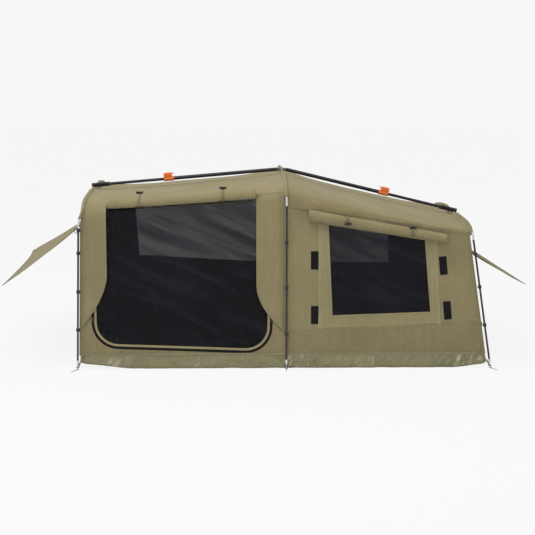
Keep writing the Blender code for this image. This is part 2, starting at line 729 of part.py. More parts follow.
def add_sliders():
    """Zip sliders with their pulls, each an object whose origin is the slider's middle."""
    width, depth, height = SLIDER
    places = {"head": DOOR_LEFT + ZIP_WIDTH / 2, "foot": DOOR_RIGHT - ZIP_WIDTH / 2}
    for label, zip_x in places.items():
        face = row_point(zip_x, row_at(zip_x, SLIDER_HEIGHT), ZIP_THICKNESS / 2)
        back = face.y - SLIDER_TRAVEL_CLEAR
        bm = box_mesh((-width / 2, -depth / 2, -width / 2), (width / 2, depth / 2, width / 2))
        bmesh.ops.bevel(bm, geom=bm.edges, offset=SLIDER_ROUND, segments=2, profile=0.5, affect="EDGES",
                        material=-1)
        body = add_object("zip_slider_" + label, bm, CLIP_LOOK)
        tab = box_mesh((-width / 4, -depth / 2, width / 2 - height), (width / 4, -depth / 6, 0))
        pull = add_object("slider_pull_" + label, tab)
        pull.parent = body
        combine(body, pull, "UNION")
        body.location = (zip_x, back - depth / 2, SLIDER_HEIGHT)


def add_windows():
    front = add_sheet("front_window_mesh", side_wall_mesh(-1), MESH, MESH_LOOK)
    combine(front, near_side("front_mesh_cutter", shrink_outline(FRONT_WINDOW, PANEL_GAP)), "INTERSECT")
    for name, window in (("head", BACK_WINDOW_HEAD), ("foot", BACK_WINDOW_FOOT)):
        back = add_sheet("back_window_mesh_" + name, side_wall_mesh(1), MESH, MESH_LOOK)
        cutter = far_side("back_mesh_cutter_" + name, shrink_outline(window, PANEL_GAP))
        combine(back, cutter, "INTERSECT")


def add_roll(name, stretch, steps, side):
    """Canvas rolled up along the top of an opening, drawn in where its toggles hold it."""
    start, end, first_radius, last_radius = stretch
    rings = []
    for station in range(ROLL_STATIONS):
        share = station / (ROLL_STATIONS - 1)
        x = start + (end - start) * share
        row = WALL_ROWS + steps[0] + (steps[1] - steps[0]) * share
        touch = row_point(x, row, CANVAS / 2)
        run = (row_point(x, floor(row) + 1, CANVAS / 2) - row_point(x, floor(row), CANVAS / 2)).normalized()
        out = Vector((0, -run.z, run.y)).normalized()
        radius = first_radius + (last_radius - first_radius) * share
        drawn = [max(1 - abs(share - spot) / TOGGLE_REACH, 0.0) for spot in TOGGLE_SPOTS]
        size = radius * (1 - ROLL_PINCH * sum(drawn))
        centre = touch + out * (radius + ROLL_CLEAR)
        ring = []
        for corner in range(ROLL_SIDES):
            turn = 2 * pi * corner / ROLL_SIDES
            point = centre + out * (size * cos(turn)) + run * (size * sin(turn))
            ring.append((x, -side * point.y, point.z))
        rings.append(ring)
    add_object(name, loft_mesh(rings), CANVAS_LOOK, smooth=True)


# End flaps

def add_end_flap(name, hoop_index, spec, outward):
    """Awning over an end window; its hem is the hinge and its origin."""
    height, near, far = spec
    hinge = Vector((end_wall_x(hoop_index, height) + outward * (CANVAS / 2 + HEM_RADIUS + GAP), 0.0, height))

    def place(i, j):
        share = i / END_FLAP_COLUMNS
        down = j / END_FLAP_ROWS
        hollow = 4 * share * (1 - share)
        length = near[0] + (far[0] - near[0]) * share - END_FLAP_SWEEP * hollow * down
        slope = near[1] + (far[1] - near[1]) * share
        along = Vector((outward * cos(slope), 0, -sin(slope)))
        below = Vector((-outward * sin(slope), 0, -cos(slope)))
        sag = END_FLAP_SAG * sin(pi * down) * (0.6 + 0.4 * hollow)
        across = Vector((0, (2 * share - 1) * FLAP_HALF_WIDTH, 0))
        return across + along * (length * down + HEM_RADIUS * 0.5) + below * sag

    panel = grid_mesh(END_FLAP_COLUMNS, END_FLAP_ROWS, place)
    flap = add_sheet(name, panel, END_FLAP_THICKNESS, CANVAS_LOOK)
    rod = rod_mesh(HEM_RADIUS, (0, -FLAP_HALF_WIDTH, 0), (0, FLAP_HALF_WIDTH, 0), 10)
    hem = add_object(name + "_hem", rod)
    hem.parent = flap
    combine(flap, hem, "UNION")
    flap.location = hinge


# Hoops, sleeves and clips

def add_arch(hoop):
    """Alloy arch with a spigot at each end, inside the tops of the legs."""
    curve = bpy.data.curves.new("arch_" + hoop.name, "CURVE")
    curve.dimensions = "3D"
    curve.bevel_depth = POLE_RADIUS
    curve.bevel_resolution = 2
    curve.use_fill_caps = True
    points = []
    for side in (-1, 1):
        leg_run = (leg_axis(hoop, hoop.leg_top_z, side) - leg_axis(hoop, 0, side)).normalized()
        top = leg_axis(hoop, hoop.leg_top_z - LEG_JOINT, side)
        end = [(top - leg_run * FERRULE_LENGTH, FERRULE_RADIUS), (top + leg_run * GAP, FERRULE_RADIUS),
               (top + leg_run * (2 * GAP), POLE_RADIUS), (leg_axis(hoop, hoop.leg_top_z, side), POLE_RADIUS)]
        points.append(end if side < 0 else end[::-1])
    middle = [(arch_axis(hoop, step), POLE_RADIUS) for step in range(1, ARCH_STEPS)]
    route = points[0] + middle + points[1]
    spline = curve.splines.new("POLY")
    spline.points.add(len(route) - 1)
    for point, (place, radius) in zip(spline.points, route):
        point.co = (*place, 1.0)
        point.radius = radius / POLE_RADIUS
    thing = bpy.data.objects.new("arch_" + hoop.name, curve)
    bpy.context.collection.objects.link(thing)
    curve.materials.append(make_material("arch_" + hoop.name, ALLOY_LOOK))


def add_leg(hoop, side, label):
    """Straight leg with a socket at its top and a steel tip."""
    foot = leg_axis(hoop, TIP_CLEAR, side)
    top = leg_axis(hoop, hoop.leg_top_z - LEG_JOINT, side)
    height = (top - foot).length
    socket = FERRULE_LENGTH + 2 * GAP
    bore = FERRULE_RADIUS + GAP
    profile = [(0.0, 0.0), (TIP_RADIUS * 0.6, 0.0), (TIP_RADIUS, 0.003), (TIP_RADIUS, TIP_LENGTH),
               (POLE_RADIUS, TIP_LENGTH + 0.001), (POLE_RADIUS, height), (bore, height),
               (bore, height - socket), (0.0, height - socket)]
    turn = (top - foot).to_track_quat("Z", "Y").to_matrix().to_4x4()
    name = f"leg_{hoop.name}_{label}"
    add_object(name, lathe_mesh(profile, POLE_SIDES, Matrix.Translation(foot) @ turn), POLE_LOOK, smooth=True)


def add_sleeve(hoop_index):
    """Cloth tunnel over an arch: both its edges lie on the roof, and the pole runs inside."""
    hoop = HOOPS[hoop_index]
    sections = canvas_sections(CANVAS / 2)
    inner_top = POLE_RADIUS + CLOTH_GAP
    outer_top = inner_top + SLEEVE_CLOTH
    rings = []
    for step in range(SLEEVE_ENDS[0], SLEEVE_ENDS[1] + 1):
        row = WALL_ROWS + step
        axis = arch_axis(hoop, step)
        normal = arch_normal(hoop, step)
        unit = normal.normalized()
        edges = []
        for offset in (-SLEEVE_HALF_WIDTH, SLEEVE_HALF_WIDTH, SLEEVE_CLOTH - SLEEVE_HALF_WIDTH,
                       SLEEVE_HALF_WIDTH - SLEEVE_CLOTH):
            along = along_at(sections, sections[hoop_index][row].x + offset, row)
            edges.append(canvas_point(sections, along, row) + unit * CLOTH_GAP)
        outer_left, outer_right, inner_left, inner_right = edges
        level = Vector((POLE_RADIUS * SLEEVE_CROWN, 0, 0))
        inner_level = level - Vector((SLEEVE_CLOTH / 2, 0, 0))
        shoulder = unit * POLE_RADIUS
        inner_shoulder = shoulder - unit * (SLEEVE_CLOTH / 2)
        rings.append([
            outer_left,
            outer_left + shoulder,
            axis + normal * outer_top - level,
            axis + normal * outer_top + level,
            outer_right + shoulder,
            outer_right,
            inner_right,
            inner_right + inner_shoulder,
            axis + normal * inner_top + inner_level,
            axis + normal * inner_top - inner_level,
            inner_left + inner_shoulder,
            inner_left,
        ])
    add_object("sleeve_" + hoop.name, loft_mesh(rings), CANVAS_LOOK, smooth=True)


def add_clip_tape(hoop, side, label):
    """Tape sewn to the wall beside a leg, with a hook round the leg at each clip height."""
    shift = {"head": WALL_END, "mid": 0.0, "foot": -WALL_END}[hoop.name]
    shift += copysign(TAPE_WIDTH / 2, shift) if shift else 0.0
    name = f"clip_tape_{hoop.name}_{label}"
    wall_y = side * (WIDTH / 2 - POLE_RADIUS - LEG_STANDOFF + GAP)
    tape_y = wall_y + side * TAPE_THICKNESS
    rings = []
    for height in (TAPE_BOTTOM, hoop.leg_top_z - TAPE_WIDTH):
        x = leg_axis(hoop, height, side).x + shift
        rings.append([(x - TAPE_WIDTH / 2, wall_y, height), (x + TAPE_WIDTH / 2, wall_y, height),
                      (x + TAPE_WIDTH / 2, tape_y, height), (x - TAPE_WIDTH / 2, tape_y, height)])
    tape = add_object(name, loft_mesh(rings), CLIP_LOOK)
    reach = POLE_RADIUS + HOOK_WALL
    for index, height in enumerate(CLIP_HEIGHTS[hoop.name]):
        centre = leg_axis(hoop, height, side)
        low_x = min(centre.x - reach, centre.x + shift - TAPE_WIDTH / 2)
        high_x = max(centre.x + reach, centre.x + shift + TAPE_WIDTH / 2)
        if shift:
            low_x = centre.x - reach if shift > 0 else centre.x + shift - TAPE_WIDTH / 3
            high_x = centre.x + reach if shift < 0 else centre.x + shift + TAPE_WIDTH / 3
        ys = sorted((wall_y + side * TAPE_THICKNESS / 2, centre.y + side * POLE_RADIUS * 0.7))
        hook = add_object(f"{name}_hook_{index}", box_mesh((low_x, ys[0], height - HOOK_HEIGHT / 2),
                                                           (high_x, ys[1], height + HOOK_HEIGHT / 2)))
        combine(tape, hook, "UNION")
    low, high = leg_axis(hoop, TAPE_BOTTOM, side), leg_axis(hoop, hoop.leg_top_z, side)
    bore = add_object(name + "_bore", rod_mesh(POLE_RADIUS + GAP, low, high, POLE_SIDES))
    combine(tape, bore, "DIFFERENCE")


def add_peg(hoop, side, label):
    """Bent wire peg: its eye goes round the leg's tip and its shank lies outwards on the ground."""
    centre = leg_axis(hoop, 0, side)
    outward = {"head": -1, "mid": 0, "foot": 1}[hoop.name]
    heading = atan2(side, outward * 0.45)
    curve = bpy.data.curves.new(f"peg_{hoop.name}_{label}", "CURVE")
    curve.dimensions = "3D"
    curve.bevel_depth = PEG_WIRE
    curve.bevel_resolution = 1
    curve.use_fill_caps = True
    height = PEG_WIRE + PEG_LIFT
    eye = TIP_RADIUS + PEG_EYE_GAP + PEG_WIRE
    opening = radians(32)
    route = []
    for index in range(PEG_POINTS):
        turn = heading + opening + (2 * pi - 2 * opening) * index / (PEG_POINTS - 1)
        route.append((centre.x + eye * cos(turn), centre.y + eye * sin(turn), height))
    end = eye + PEG_SHANK
    route.append((centre.x + end * cos(heading), centre.y + end * sin(heading), height))
    spline = curve.splines.new("POLY")
    spline.points.add(len(route) - 1)
    for point, place in zip(spline.points, route):
        point.co = (*place, 1.0)
    thing = bpy.data.objects.new(f"peg_{hoop.name}_{label}", curve)
    bpy.context.collection.objects.link(thing)
    curve.materials.append(make_material(f"peg_{hoop.name}_{label}", STEEL_LOOK))


# Ridge pole: hub, and for each arm a hinged outer tube, a clamp with its lever, and a sliding inner tube

def sleeve_top(hoop):
    return hoop.crown_z + POLE_RADIUS + CLOTH_GAP + SLEEVE_CLOTH


def hub_half_width():
    return TONGUE / 2 + PIN_GAP + HUB_CHEEK


def hub_base():
    """Underside of the hub: the sleeve rises to both sides of the crown, so the hub's edges rest on it."""
    beside = arch_axis(HOOPS[1], ARCH_STEPS // 2 + 1)
    rise = (beside.z - HOOPS[1].crown_z) / beside.y
    return sleeve_top(HOOPS[1]) + rise * hub_half_width() + GAP


def pin_height():
    return hub_base() + HUB_BASE + TUBE_RADIUS


ARM_ENDS = {"head": (0, -1), "foot": (2, 1)}


def arm_frame(arm):
    """Pin place, unit run outwards and slope of an arm."""
    hoop_index, outward = ARM_ENDS[arm]
    hoop = HOOPS[hoop_index]
    pin = Vector((HOOPS[1].crown_x + outward * HUB_SPREAD, 0.0, pin_height()))
    run = Vector((hoop.crown_x, 0.0, sleeve_top(hoop) + GAP + FITTING_RADIUS)) - pin
    slope = atan2(-run.z, abs(run.x))
    lift = FITTING_RADIUS / cos(slope) - FITTING_RADIUS + SLEEVE_HALF_WIDTH * 0.5 * tan(slope)
    run.z += lift
    return pin, run.normalized(), run.length, outward


def arm_matrix(arm):
    """Local frame of an arm: +X along the arm outwards, Z up. Its origin is the hinge pin."""
    pin, run, _, _ = arm_frame(arm)
    side = Vector((0, 0, 1)).cross(run).normalized()
    up = run.cross(side)
    turn = Matrix((run, side, up)).transposed().to_4x4()
    return Matrix.Translation(pin) @ turn


def along_x(start):
    """Lathe frame: local Z of the lathe becomes the arm's X."""
    return Matrix.Translation((start, 0, 0)) @ Matrix.Rotation(pi / 2, 4, "Y")


def add_hub():
    """Saddle with two cheeks, a web between the arms and the two hinge pins."""
    base = hub_base()
    pin_z = pin_height()
    x = HOOPS[1].crown_x
    outer = hub_half_width()
    inner = outer - HUB_CHEEK
    half = HUB_SPREAD + TONGUE_RADIUS
    top = pin_z + TONGUE_RADIUS
    sunk = base + HUB_BASE / 2
    saddle = box_mesh((x - half, -outer, base), (x + half, outer, base + HUB_BASE))
    hub = add_object("ridge_hub", saddle, ALLOY_LOOK)
    for label, side in (("near", -1), ("far", 1)):
        ys = sorted((side * inner, side * outer))
        cheek = box_mesh((x - half, ys[0], sunk), (x + half, ys[1], top))
        corners = []
        for edge in cheek.edges:
            first, second = [vertex.co for vertex in edge.verts]
            if min(first.z, second.z) > top - GAP and abs(first.x - second.x) < GAP:
                corners.append(edge)
        bmesh.ops.bevel(cheek, geom=corners, offset=CHEEK_ROUND, segments=3, profile=0.5, affect="EDGES",
                        material=-1)
        combine(hub, add_object("hub_cheek_" + label, cheek), "UNION")
    web_y = inner + HUB_CHEEK / 2
    web = box_mesh((x - HUB_WEB / 2, -web_y, sunk), (x + HUB_WEB / 2, web_y, top + WEB_OVER))
    combine(hub, add_object("hub_web", web), "UNION")
    for label, side in (("head", -1), ("foot", 1)):
        pin_x = x + side * HUB_SPREAD
        reach = outer + PIN_HEAD
        pin = rod_mesh(PIN_RADIUS, (pin_x, -reach, pin_z), (pin_x, reach, pin_z), 12)
        combine(hub, add_object("hub_pin_" + label, pin), "UNION")


def lock_span(arm):
    """Inner and outer ends of the lock clamp along the arm."""
    middle = LOCK_DISTANCE[arm]
    return middle - LOCK_LENGTH / 2, middle + LOCK_LENGTH / 2


def outer_tube_end(arm):
    return lock_span(arm)[1] - LOCK_STEP - GAP


def add_outer_tube(arm):
    """Black tube with a hinge tongue at the hub; its origin is the hinge pin."""
    end = outer_tube_end(arm)
    bore = TUBE_RADIUS - TUBE_WALL
    plug = SHOULDER + PLUG_LENGTH
    profile = [(0.0, SHOULDER), (TUBE_RADIUS - TUBE_CHAMFER, SHOULDER),
               (TUBE_RADIUS, SHOULDER + TUBE_CHAMFER), (TUBE_RADIUS, end), (bore, end),
               (bore, plug), (0.0, plug)]
    skin = lathe_mesh(profile, TUBE_SIDES, along_x(0))
    tube = add_object("ridge_outer_tube_" + arm, skin, TUBE_LOOK, smooth=True)
    half = TONGUE / 2
    tongue = box_mesh((0, -half, -TONGUE_HALF_HEIGHT), (SHOULDER + PLUG_LENGTH / 5, half, TONGUE_HALF_HEIGHT))
    plate = add_object("tongue_" + arm, tongue)
    eye = add_object("eye_" + arm, rod_mesh(TONGUE_RADIUS, (0, -half, 0), (0, half, 0), 20))
    pin_hole = rod_mesh(PIN_RADIUS + PIN_GAP, (0, -TONGUE, 0), (0, TONGUE, 0), 12)
    hole = add_object("pin_hole_" + arm, pin_hole)
    combine(tube, plate, "UNION")
    combine(tube, eye, "UNION")
    combine(tube, hole, "DIFFERENCE")
    for guide in (plate, eye, hole):
        guide.parent = tube
    tube.matrix_world = arm_matrix(arm)


def add_clamp(arm):
    """Lock clamp over the outer tube's end, with ears and the lever's pin."""
    start, end = lock_span(arm)
    half = LOCK_WIDTH / 2
    bm = box_mesh((start, -half, -LOCK_BOTTOM), (end, half, LOCK_TOP))
    long_edges = [edge for edge in bm.edges if abs(edge.verts[0].co.x - edge.verts[1].co.x) > GAP]
    bmesh.ops.bevel(bm, geom=long_edges, offset=LOCK_ROUND, segments=3, profile=0.5, affect="EDGES",
                    material=-1)
    clamp = add_object("lock_clamp_" + arm, bm, ORANGE_LOOK, smooth=True)
    wide_bore = rod_mesh(TUBE_RADIUS + GAP, (start - LOCK_STEP, 0, 0), (end - LOCK_STEP, 0, 0), TUBE_SIDES)
    narrow_bore = rod_mesh(INNER_RADIUS + SLIDE_GAP, (start, 0, 0), (end + LOCK_STEP, 0, 0), TUBE_SIDES)
    wide = add_object("clamp_wide_bore_" + arm, wide_bore)
    narrow = add_object("clamp_bore_" + arm, narrow_bore)
    pivot_x = LOCK_DISTANCE[arm] + LEVER_PIVOT[0]
    pivot_z = LEVER_PIVOT[1]
    guides = [wide, narrow]
    ear_in = LEVER_WIDTH / 2 + PIN_GAP
    for label, side in (("near", -1), ("far", 1)):
        ys = sorted((side * ear_in, side * (ear_in + EAR_THICKNESS)))
        ear = box_mesh((pivot_x - LEVER_CAM, ys[0], LOCK_TOP - EAR_SUNK),
                       (pivot_x + LEVER_CAM, ys[1], pivot_z + LEVER_CAM))
        guides.append(add_object(f"clamp_ear_{label}_{arm}", ear))
        combine(clamp, guides[-1], "UNION")
    reach = ear_in + EAR_THICKNESS * 0.8
    pin = rod_mesh(PIN_RADIUS, (pivot_x, -reach, pivot_z), (pivot_x, reach, pivot_z), 12)
    guides.append(add_object("clamp_pin_" + arm, pin))
    combine(clamp, guides[-1], "UNION")
    combine(clamp, wide, "DIFFERENCE")
    combine(clamp, narrow, "DIFFERENCE")
    for guide in guides:
        guide.parent = clamp
    clamp.matrix_world = arm_matrix(arm)


def add_lever(arm):
    """Cam lever lying back along the clamp towards the hub; its origin is its pin."""
    half = LEVER_WIDTH / 2
    cam = rod_mesh(LEVER_CAM, (0, -half, 0), (0, half, 0), 20)
    lever = add_object("lock_lever_" + arm, cam, ORANGE_LOOK, smooth=True)
    handle = box_mesh((-LEVER_LENGTH, -half, LEVER_CAM - LEVER_THICKNESS), (0, half, LEVER_CAM))
    for vertex in handle.verts:
        if vertex.co.x < -LEVER_LENGTH / 2:
            vertex.co.z += LEVER_RISE
    plate = add_object("lever_plate_" + arm, handle)
    pin_hole = rod_mesh(PIN_RADIUS + PIN_GAP, (0, -LEVER_WIDTH, 0), (0, LEVER_WIDTH, 0), 12)
    hole = add_object("lever_hole_" + arm, pin_hole)
    combine(lever, plate, "UNION")
    combine(lever, hole, "DIFFERENCE")
    plate.parent = lever
    hole.parent = lever
    pivot = Matrix.Translation((LOCK_DISTANCE[arm] + LEVER_PIVOT[0], 0, LEVER_PIVOT[1]))
    lever.matrix_world = arm_matrix(arm) @ pivot


def fitting_start(arm):
    """Inner end of the end fitting along the arm."""
    return arm_frame(arm)[2] + FITTING_OVERHANG - FITTING_LENGTH


def add_inner_tube(arm):
    """Thinner tube that slides in the outer one; its origin is its inner end."""
    start = outer_tube_end(arm) - INNER_OVERLAP
    end = fitting_start(arm) + FITTING_SOCKET - GAP
    length = end - start
    bore = INNER_RADIUS - INNER_WALL
    profile = [(bore, 0.0), (INNER_RADIUS, 0.0), (INNER_RADIUS, length), (bore, length)]
    skin = lathe_mesh(profile, TUBE_SIDES, along_x(0))
    tube = add_object("ridge_inner_tube_" + arm, skin, TUBE_LOOK, smooth=True)
    tube.matrix_world = arm_matrix(arm) @ Matrix.Translation((start, 0, 0))


def add_fitting(arm):
    """End cap that rests on the end hoop's sleeve, with a lug behind the hoop."""
    length, socket, edge = FITTING_LENGTH, FITTING_SOCKET, FITTING_CHAMFER
    bore = INNER_RADIUS + GAP
    profile = [(0.0, length), (FITTING_RADIUS - edge, length), (FITTING_RADIUS, length - edge),
               (FITTING_RADIUS, edge), (FITTING_RADIUS - edge, 0.0), (bore, 0.0), (bore, socket),
               (0.0, socket)]
    skin = lathe_mesh(profile, TUBE_SIDES, along_x(0))
    fitting = add_object("ridge_end_fitting_" + arm, skin, TUBE_LOOK, smooth=True)
    lug_end = length - FITTING_OVERHANG - SLEEVE_HALF_WIDTH - LUG_CLEAR
    block = box_mesh((lug_end - LUG_LENGTH, -LUG_WIDTH / 2, -FITTING_RADIUS - LUG_DROP),
                     (lug_end, LUG_WIDTH / 2, -FITTING_RADIUS * 0.75))
    lug = add_object("lug_" + arm, block)
    combine(fitting, lug, "UNION")
    lug.parent = fitting
    fitting.matrix_world = arm_matrix(arm) @ Matrix.Translation((fitting_start(arm), 0, 0))


# Build

clear_scene()
add_tub()
add_mattress()
add_roof()
add_side_walls()
add_end_wall("head", 0, HEAD_WINDOW_TOP)
add_end_wall("foot", 2, FOOT_WINDOW_TOP)
add_door()
add_windows()
add_storm_flaps()
add_sliders()
add_roll("door_roll", DOOR_ROLL, DOOR_ROLL_STEPS, -1)
add_roll("window_roll", WINDOW_ROLL, WINDOW_ROLL_STEPS, -1)
add_roll("back_roll_head", BACK_ROLL_HEAD, WINDOW_ROLL_STEPS, 1)
add_roll("back_roll_foot", BACK_ROLL_FOOT, WINDOW_ROLL_STEPS, 1)
add_end_flap("head_flap", 0, HEAD_FLAP, -1)
add_end_flap("foot_flap", 2, FOOT_FLAP, 1)
for index, hoop in enumerate(HOOPS):
    add_arch(hoop)
    add_sleeve(index)
    for side, label in ((-1, "near"), (1, "far")):
        add_leg(hoop, side, label)
        add_clip_tape(hoop, side, label)
        add_peg(hoop, side, label)
add_hub()
for arm in ARM_ENDS:
    add_outer_tube(arm)
    add_clamp(arm)
    add_lever(arm)
    add_inner_tube(arm)
    add_fitting(arm)
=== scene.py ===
# Swag tent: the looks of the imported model. Metres, +Z up, in the frame of the CAD.
# -X is the high head end, +X the low foot end, -Y the side with the door.
from math import atan2, copysign, cos, exp, hypot, pi, radians, sin, sqrt

import bmesh
import bpy
from mathutils import Matrix, Vector, noise


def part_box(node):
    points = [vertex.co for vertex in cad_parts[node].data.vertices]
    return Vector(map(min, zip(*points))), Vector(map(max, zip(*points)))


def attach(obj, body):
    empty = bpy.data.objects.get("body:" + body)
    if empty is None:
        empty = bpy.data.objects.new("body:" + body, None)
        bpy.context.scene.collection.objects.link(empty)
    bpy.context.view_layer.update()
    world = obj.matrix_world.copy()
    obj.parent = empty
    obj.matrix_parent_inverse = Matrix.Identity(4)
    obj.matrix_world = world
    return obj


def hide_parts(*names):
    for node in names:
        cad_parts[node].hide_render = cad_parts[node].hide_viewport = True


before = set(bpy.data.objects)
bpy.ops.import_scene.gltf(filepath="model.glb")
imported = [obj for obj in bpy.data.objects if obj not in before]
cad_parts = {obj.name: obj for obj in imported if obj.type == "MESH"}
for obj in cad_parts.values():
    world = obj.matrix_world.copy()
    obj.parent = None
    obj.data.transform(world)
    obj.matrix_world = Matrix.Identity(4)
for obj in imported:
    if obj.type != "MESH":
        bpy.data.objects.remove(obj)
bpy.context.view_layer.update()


# Camera
# It stands where the photograph was taken from, a little over the tent and six metres off.
# The lens is worked out from the focal length that was fitted to the photograph, in pixels.
SENSOR_WIDTH = 36.0
FOCAL_PIXELS = 1122
PICTURE_PIXELS = 535
camera_data = bpy.data.cameras.new("photo_camera")
camera_data.sensor_width = SENSOR_WIDTH
camera_data.lens = SENSOR_WIDTH * FOCAL_PIXELS / PICTURE_PIXELS
camera_data.clip_end = 200.0
camera = bpy.data.objects.new("photo_camera", camera_data)
camera.location = (-0.200, -6.270, 1.337)
camera.rotation_euler = (radians(90 - 8.32), 0.0, radians(-1.15))
bpy.context.scene.collection.objects.link(camera)
bpy.context.scene.camera = camera
bpy.context.scene.view_settings.view_transform = "Standard"


# Studio
# A pale floor, a white surround and one broad soft lamp overhead. The floor shows nearly white, and
# keeps a light shadow under the tent.
BACKGROUND = (0.930, 0.930, 0.930, 1.0)
SMOOTH_ANGLE = radians(40)


def plug(tree, value, socket):
    """Links a shader socket to another one, or sets its value."""
    if isinstance(value, bpy.types.NodeSocket):
        tree.links.new(value, socket)
    else:
        socket.default_value = value


def wire(tree, kind, settings=None, **sockets):
    """Adds a shader node, sets its properties, and sets or links its sockets."""
    node = tree.nodes.new("ShaderNode" + kind)
    for key, value in (settings or {}).items():
        setattr(node, key, value)
    for key, value in sockets.items():
        plug(tree, value, node.inputs[key.replace("_", " ")])
    return node


def maths(tree, operation, *values):
    """Result of a math node on one or two values, each a socket or a number."""
    node = wire(tree, "Math", {"operation": operation})
    for value, socket in zip(values, node.inputs):
        plug(tree, value, socket)
    return node.outputs[0]


def mix_shaders(tree, share, first, second):
    node = wire(tree, "MixShader", Fac=share)
    tree.links.new(first, node.inputs[1])
    tree.links.new(second, node.inputs[2])
    return node.outputs[0]


def new_object(name, bm, material=None):
    """Turns a bmesh into an object at the origin, shaded smooth up to an angle."""
    mesh = bpy.data.meshes.new(name)
    bm.to_mesh(mesh)
    bm.free()
    mesh.shade_smooth()
    mesh.set_sharp_from_angle(angle=SMOOTH_ANGLE)
    if material:
        mesh.materials.append(material)
    piece = bpy.data.objects.new(name, mesh)
    bpy.context.scene.collection.objects.link(piece)
    return piece


floor_paint = bpy.data.materials.new("studio_floor")
floor_paint.use_nodes = True
tree = floor_paint.node_tree
tree.nodes.clear()
plain = wire(tree, "BsdfDiffuse", Color=(0.86, 0.86, 0.86, 1.0)).outputs[0]
glow = wire(tree, "Emission", Color=BACKGROUND, Strength=1.04).outputs[0]
seen = maths(tree, "MULTIPLY", wire(tree, "LightPath").outputs["Is Camera Ray"], 0.90)
wire(tree, "OutputMaterial", Surface=mix_shaders(tree, seen, plain, glow))

bm = bmesh.new()
bmesh.ops.create_grid(bm, x_segments=1, y_segments=1, size=60.0)
floor = new_object("studio_floor", bm, floor_paint)

world = bpy.data.worlds.new("studio")
world.use_nodes = True
tree = world.node_tree
tree.nodes.clear()
rays = wire(tree, "LightPath").outputs
shiny = maths(tree, "MAXIMUM", rays["Is Glossy Ray"], rays["Is Transmission Ray"])
direct = maths(tree, "MAXIMUM", rays["Is Camera Ray"], shiny)
surround = wire(tree, "Background", Color=BACKGROUND, Strength=0.62).outputs[0]
white = wire(tree, "Background", Color=BACKGROUND, Strength=1.0).outputs[0]
wire(tree, "OutputWorld", Surface=mix_shaders(tree, direct, surround, white))
bpy.context.scene.world = world

lamp_data = bpy.data.lights.new("overhead_softbox", "AREA")
lamp_data.shape = "RECTANGLE"
lamp_data.size = 5.0
lamp_data.size_y = 3.5
lamp_data.energy = 150.0
lamp = bpy.data.objects.new("overhead_softbox", lamp_data)
lamp.location = (-1.2, -2.0, 4.6)
lamp.rotation_euler = (Vector((0, 0, 0.5)) - lamp.location).to_track_quat("-Z", "Y").to_euler()
bpy.context.scene.collection.objects.link(lamp)


# Canvas roof
# Ripstop cotton over both bays, drawn tight between the hoops. It sags in the middle of a bay, and
# its lower edges are felled to the walls.
WIDTH = 1.40
TUB_RIM = 0.072
POLE_POWER = 3.4
POLE_DIP = 0.020
DIP_WIDTH = 0.13
CLOTH_DEPTH = 0.0063        # middle of the cloth under a pole's axis
LEG_STANDOFF = 0.0084       # extra depth beside the legs
WALL_SAG = 0.008
ROOF_SAG = 0.034
CLOTH = 0.0011
SHOULDER_LEAN = 0.022
HEAD_BAY, FOOT_BAY = 1.058, 0.964       # lengths of the bays, which turn metres into u
# Each hoop: x at the ground, x and z of the leg tops, x and z of the crown
HOOPS = (
    (-1.050, -1.030, 0.734, -1.030, 0.868),
    (0.008, 0.008, 0.842, 0.004, 0.955),
    (1.050, 0.944, 0.672, 0.968, 0.724),
)


def smooth_step(share):
    share = min(max(share, 0.0), 1.0)
    return share * share * (3 - 2 * share)


def shoulder_lean(hoop, y, rise):
    """Lean of an end hoop along x: its near shoulder is drawn inwards and its far one outwards."""
    if abs(hoop[0]) < 0.5:
        return 0.0
    return copysign(SHOULDER_LEAN * smooth_step(rise / 0.6) * smooth_step(abs(y) / 0.40), hoop[0] * y)


def pole_point(hoop, way):
    """Point of a hoop's axis: way is 0 at the near leg's top, 1 at the crown, 2 at the far leg's top."""
    _, top_x, top_z, crown_x, crown_z = hoop
    half = min(max(way, 0.0), 2 - way)
    corner = cos(pi / 4) ** (2 / POLE_POWER)
    across = cos(half * pi / 2) ** (2 / POLE_POWER) if half < 0.5 else corner * (1 - half) * 2
    rise = (1 - min(across, 1.0) ** POLE_POWER) ** (1 / POLE_POWER)
    y = copysign(WIDTH / 2 * across, way - 1)
    z = top_z + (crown_z + POLE_DIP - top_z) * rise - POLE_DIP * exp(-(y / DIP_WIDTH) ** 2)
    return Vector((top_x + (crown_x - top_x) * rise + shoulder_lean(hoop, y, rise), y, z))


def pole_out(hoop, way):
    """Unit vector away from the cabin, in the hoop's plane."""
    run = pole_point(hoop, min(way + 0.01, 2.0)) - pole_point(hoop, max(way - 0.01, 0.0))
    return Vector((0, -run.z, run.y)).normalized()


def section(hoop, v):
    """Middle of the cloth at a hoop. v is 0 at the near rim of the tub, 1 at the near leg's top,
    2 at the crown, 3 at the far leg's top and 4 at the far rim."""
    if 1 < v < 3:
        half = min(v - 1, 3 - v)
        depth = CLOTH_DEPTH + LEG_STANDOFF * (1 - smooth_step(half / 0.3))
        return pole_point(hoop, v - 1) - pole_out(hoop, v - 1) * depth
    height = TUB_RIM + (hoop[2] - TUB_RIM) * min(v, 4 - v)
    x = hoop[0] + (hoop[1] - hoop[0]) * height / hoop[2]
    return Vector((x, copysign(WIDTH / 2 - CLOTH_DEPTH - LEG_STANDOFF, v - 2), height))


